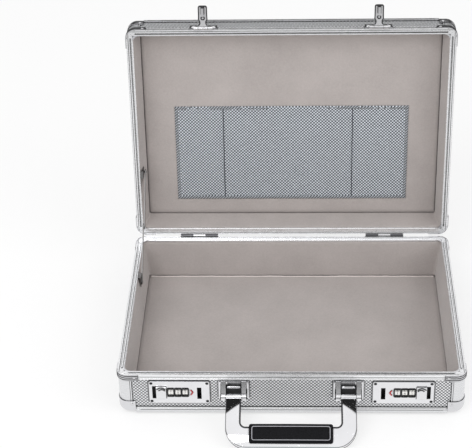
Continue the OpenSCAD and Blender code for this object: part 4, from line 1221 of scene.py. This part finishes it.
class CASE_OT_lock_trim(Part, bpy.types.Operator):
    """Add the gaskets, the wheel surrounds and the red index marks of the locks"""
    bl_idname = "case.lock_trim"
    bl_label = "Trim the Locks"

    def execute(self, context):
        rubber = plastic_finish("gasket_rubber", self.colours.seal, 0.6)
        red = plastic_finish("index_paint", self.colours.mark, 0.4)
        chrome = bright_finish("plated_bar", self.colours.chrome, 0.06)
        for side in SIDES:
            way = 1 if side == "left" else -1
            plate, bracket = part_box(f"lock_plate_{side}"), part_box(f"handle_bracket_{side}")
            made = [frame_ring(f"lock_gasket_{side}", *plate, BOARD_FRONT,
                               0.5 * MM, 0.7 * MM, 3 * MM),
                    frame_ring(f"bracket_gasket_{side}", *bracket, BOARD_FRONT,
                               0.4 * MM, 0.6 * MM, 0.3 * MM),
                    self.window(side, *bracket), self.surrounds(side, plate[0].y - 0.6 * MM)]
            for obj in made:
                fit(obj, rubber, "tray")
            fit(self.mark(side, way, plate[0].y), red, "tray")
            fit(self.lips(side, way), rubber, f"slide_{side[0]}")
            fit(self.bar(side, *bracket), chrome, "tray")
        return {"FINISHED"}

    def surrounds(self, side, face):
        """One frame round each wheel's window, joined."""
        room = Vector((0.3 * MM, 0, 0))
        rings = []
        for n in (1, 2, 3):
            low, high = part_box(f"dial_{side}_{n}")
            rings.append(frame_ring(f"surround_{side}_{n}", low - room, high + room, face,
                                    0.25 * MM, 1.3 * MM, 0.4 * MM))
        take(rings[0])
        for other in rings[1:]:
            other.select_set(True)
        bpy.ops.object.join()
        rings[0].name = f"wheel_surrounds_{side}"
        return rings[0]

    def window(self, side, low, high):
        """A blackened plate behind the bracket's window."""
        take()
        bpy.ops.mesh.primitive_grid_add(x_subdivisions=8, y_subdivisions=8, size=1,
                                        rotation=(math.pi / 2, 0, 0))
        plate = placed(f"bracket_window_{side}",
                       (high.x - low.x - 22 * MM, high.z - low.z - 10.4 * MM, 1),
                       ((low.x + high.x) / 2, BOARD_FRONT - 0.12 * MM, (low.z + high.z) / 2))
        return outwards(plate, extrude_region_move=pull((0, -0.3 * MM, 0)))

    def lips(self, side, way):
        """Dark lips over the dish of a thumb slide."""
        low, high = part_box(f"thumb_slide_{side}")
        x, z = (low.x + high.x) / 2, (low.z + high.z) / 2
        dish, mouth = 17.6, 6.5
        edge, runs = math.sqrt(dish ** 2 - mouth ** 2), []
        for start, end, rise, arch in ((-5.6, 5.6, 6.4, 2.0), (-3.2, 5.2, 4.0, 1.6)):
            run = []
            for k in range(9):
                across = way * (start + (end - start) * k / 8)
                sunk = math.sqrt(dish ** 2 - across ** 2) - edge
                run.append(((x + across * MM, low.y + (sunk - 0.05) * MM,
                             z + (rise + arch * math.sin(math.pi * k / 8)) * MM), (0, -1, 0)))
            runs.append(run)
        return bead(f"thumb_lips_{side}", runs, 0.85 * MM)

    def bar(self, side, low, high):
        """The bright bar that keeps a handle arm from the case, in the bracket's window."""
        x, z = (low.x + high.x) / 2, (low.z + high.z) / 2 + 2.2 * MM
        run = [((x + a * MM, BOARD_FRONT - 0.4 * MM, z), (0, -1, 0)) for a in (-10, -5, 0, 5, 10)]
        return bead(f"bracket_bar_{side}", [run], 2.1 * MM)

    def mark(self, side, way, y):
        """A chevron that points from the wheels to the slot."""
        low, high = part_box(f"dial_{side}_1")
        x, z = (high.x if way > 0 else low.x) + way * 3.4 * MM, (low.z + high.z) / 2
        outline = [(0, 4.2), (1.5, 4.2), (4.2, 0), (1.5, -4.2), (0, -4.2), (2.5, 0)]
        points = [(x + way * a * MM, y - d * MM, z + b * MM) for d in (0.0, 0.3)
                  for a, b in outline]
        n = len(outline)
        faces = [(n, n + 1, n + 2, n + 5), (n + 5, n + 2, n + 3, n + 4), (0, 5, 2, 1), (5, 4, 3, 2)]
        faces += [(k, (k + 1) % n, n + (k + 1) % n, n + k) for k in range(n)]
        obj = outwards(piece(f"index_mark_{side}", points, faces, smooth=False))
        return applied(obj, "BEVEL", width=0.08 * MM, segments=2)


# ---- Stage -------------------------------------------------------------------------

class CASE_OT_stage(Part, bpy.types.Operator):
    """Set the floor, the soft light and the camera"""
    bl_idname = "case.stage"
    bl_label = "Set the Stage"

    def execute(self, context):
        take()
        bpy.ops.mesh.primitive_plane_add(size=1, location=(0, 0, 0))
        floor = edit(placed("studio_floor", (12, 12, 1), (0, 0, 0)), subdivide={"number_cuts": 3})
        dress(floor, floor_finish("pale_floor", self.colours.floor))
        self.world(context.scene)
        self.lamp("key", (-1.1, -2.0, 2.3), 1.8, 30)
        self.lamp("fill", (1.9, -1.2, 1.7), 1.8, 14)
        self.camera(context.scene)
        context.scene.view_settings.view_transform = "Standard"
        return {"FINISHED"}

    def world(self, scene):
        """Soft boxes with darker gaps between them, which only bright metal shows."""
        world = bpy.data.worlds.new("soft_room")
        scene.world = world
        world.use_nodes = True
        w = Wiring(world.node_tree)
        path = w.add("ShaderNodeLightPath").outputs
        seen = w.most(path["Is Camera Ray"],
                      w.most(path["Is Glossy Ray"], path["Is Transmission Ray"]))
        ray = w.split(w.add("ShaderNodeTexCoord").outputs["Generated"])
        high = w.span(ray["Z"], 0.30, 0.52)
        side = w.span(w.size(w.less(w.size(ray["X"]), 0.62)), 0.10, 0.24, 1.0, 0.0)
        # A narrow slanted gap overhead, which the handle's arms show
        aside = w.size(w.plus(ray["X"], 0.005))
        past = w.less(ray["Y"], w.span(aside, 0.030, 0.044, 0.36, 0.0))
        gap = w.times(w.span(past, 0.0, 0.02), w.span(aside, 0.055, 0.07, 1.0, 0.0))
        gap = w.times(gap, w.span(ray["Z"], 0.70, 0.76))
        boxes = w.times(w.most(high, side), w.less(1.0, gap))
        shiny = w.times(path["Is Glossy Ray"], w.less(1.0, path["Is Camera Ray"]))
        strength = w.plus(w.times(shiny, w.span(boxes, 0.0, 1.0, 0.02, 1.0)),
                          w.times(w.less(1.0, shiny), w.span(seen, 0.0, 1.0, 0.85, 1.0)))
        back = world.node_tree.nodes["Background"].inputs
        back["Color"].default_value = (1, 1, 1, 1)
        w.feed(back["Strength"], strength)

    def lamp(self, name, place, size, power):
        light = bpy.data.lights.new(name, "AREA")
        light.shape, light.size, light.energy = "SQUARE", size, power
        lamp = linked(name, light)
        lamp.location = place
        aim = Vector((0, 0, 0.1)) - lamp.location
        lamp.rotation_euler = aim.to_track_quat("-Z", "Y").to_euler()

    def camera(self, scene):
        """The camera that was fitted to the photograph's edges; its focus is in pixels."""
        focus, width = 1558, 472
        lens = bpy.data.cameras.new("camera")
        lens.sensor_width, lens.lens = 36, focus / width * 36
        lens.clip_end = 30
        pitch, yaw, roll = (math.radians(a) for a in (33.6, -2.77, -1.63))
        ahead = Vector((math.sin(yaw) * math.cos(pitch), math.cos(yaw) * math.cos(pitch),
                        -math.sin(pitch)))
        right = Vector((math.cos(yaw), -math.sin(yaw), 0))
        up = right.cross(ahead)
        x = right * math.cos(roll) + up * math.sin(roll)
        y = -right * math.sin(roll) + up * math.cos(roll)
        turn = Matrix((x, y, -ahead)).transposed().to_4x4()
        scene.camera = linked("camera", lens)
        scene.camera.matrix_world = Matrix.Translation((0.0105, -1.740, 1.354)) @ turn


class CASE_PT_panel(bpy.types.Panel):
    """Lists the steps that dress the case"""
    bl_label = "Laptop Case"
    bl_idname = "CASE_PT_panel"
    bl_space_type = "VIEW_3D"
    bl_region_type = "UI"
    bl_category = "Case"

    def draw(self, context):
        for step in STEPS:
            self.layout.operator(step.bl_idname)
        for group in (context.scene.case_sizes, context.scene.case_colours):
            box = self.layout.box()
            for name in group.__annotations__:
                box.prop(group, name)


STEPS = (CASE_OT_stage, CASE_OT_finishes, CASE_OT_tray_lining, CASE_OT_lid_lining,
         CASE_OT_pocket, CASE_OT_seals, CASE_OT_gussets, CASE_OT_hasp_trim,
         CASE_OT_lock_trim, CASE_OT_grip, CASE_OT_figures)
CLASSES = (CaseColours, CaseSizes, *STEPS, CASE_PT_panel)


def register():
    for cls in CLASSES:
        bpy.utils.register_class(cls)
    bpy.types.Scene.case_colours = PointerProperty(type=CaseColours)
    bpy.types.Scene.case_sizes = PointerProperty(type=CaseSizes)


def unregister():
    del bpy.types.Scene.case_sizes
    del bpy.types.Scene.case_colours
    for cls in reversed(CLASSES):
        bpy.utils.unregister_class(cls)


def main():
    register()
    for step in STEPS:
        group, name = step.bl_idname.split(".")
        if getattr(getattr(bpy.ops, group), name)() != {"FINISHED"}:
            raise RuntimeError(f"{step.bl_label} didn't finish")


if __name__ == "__main__":
    main()
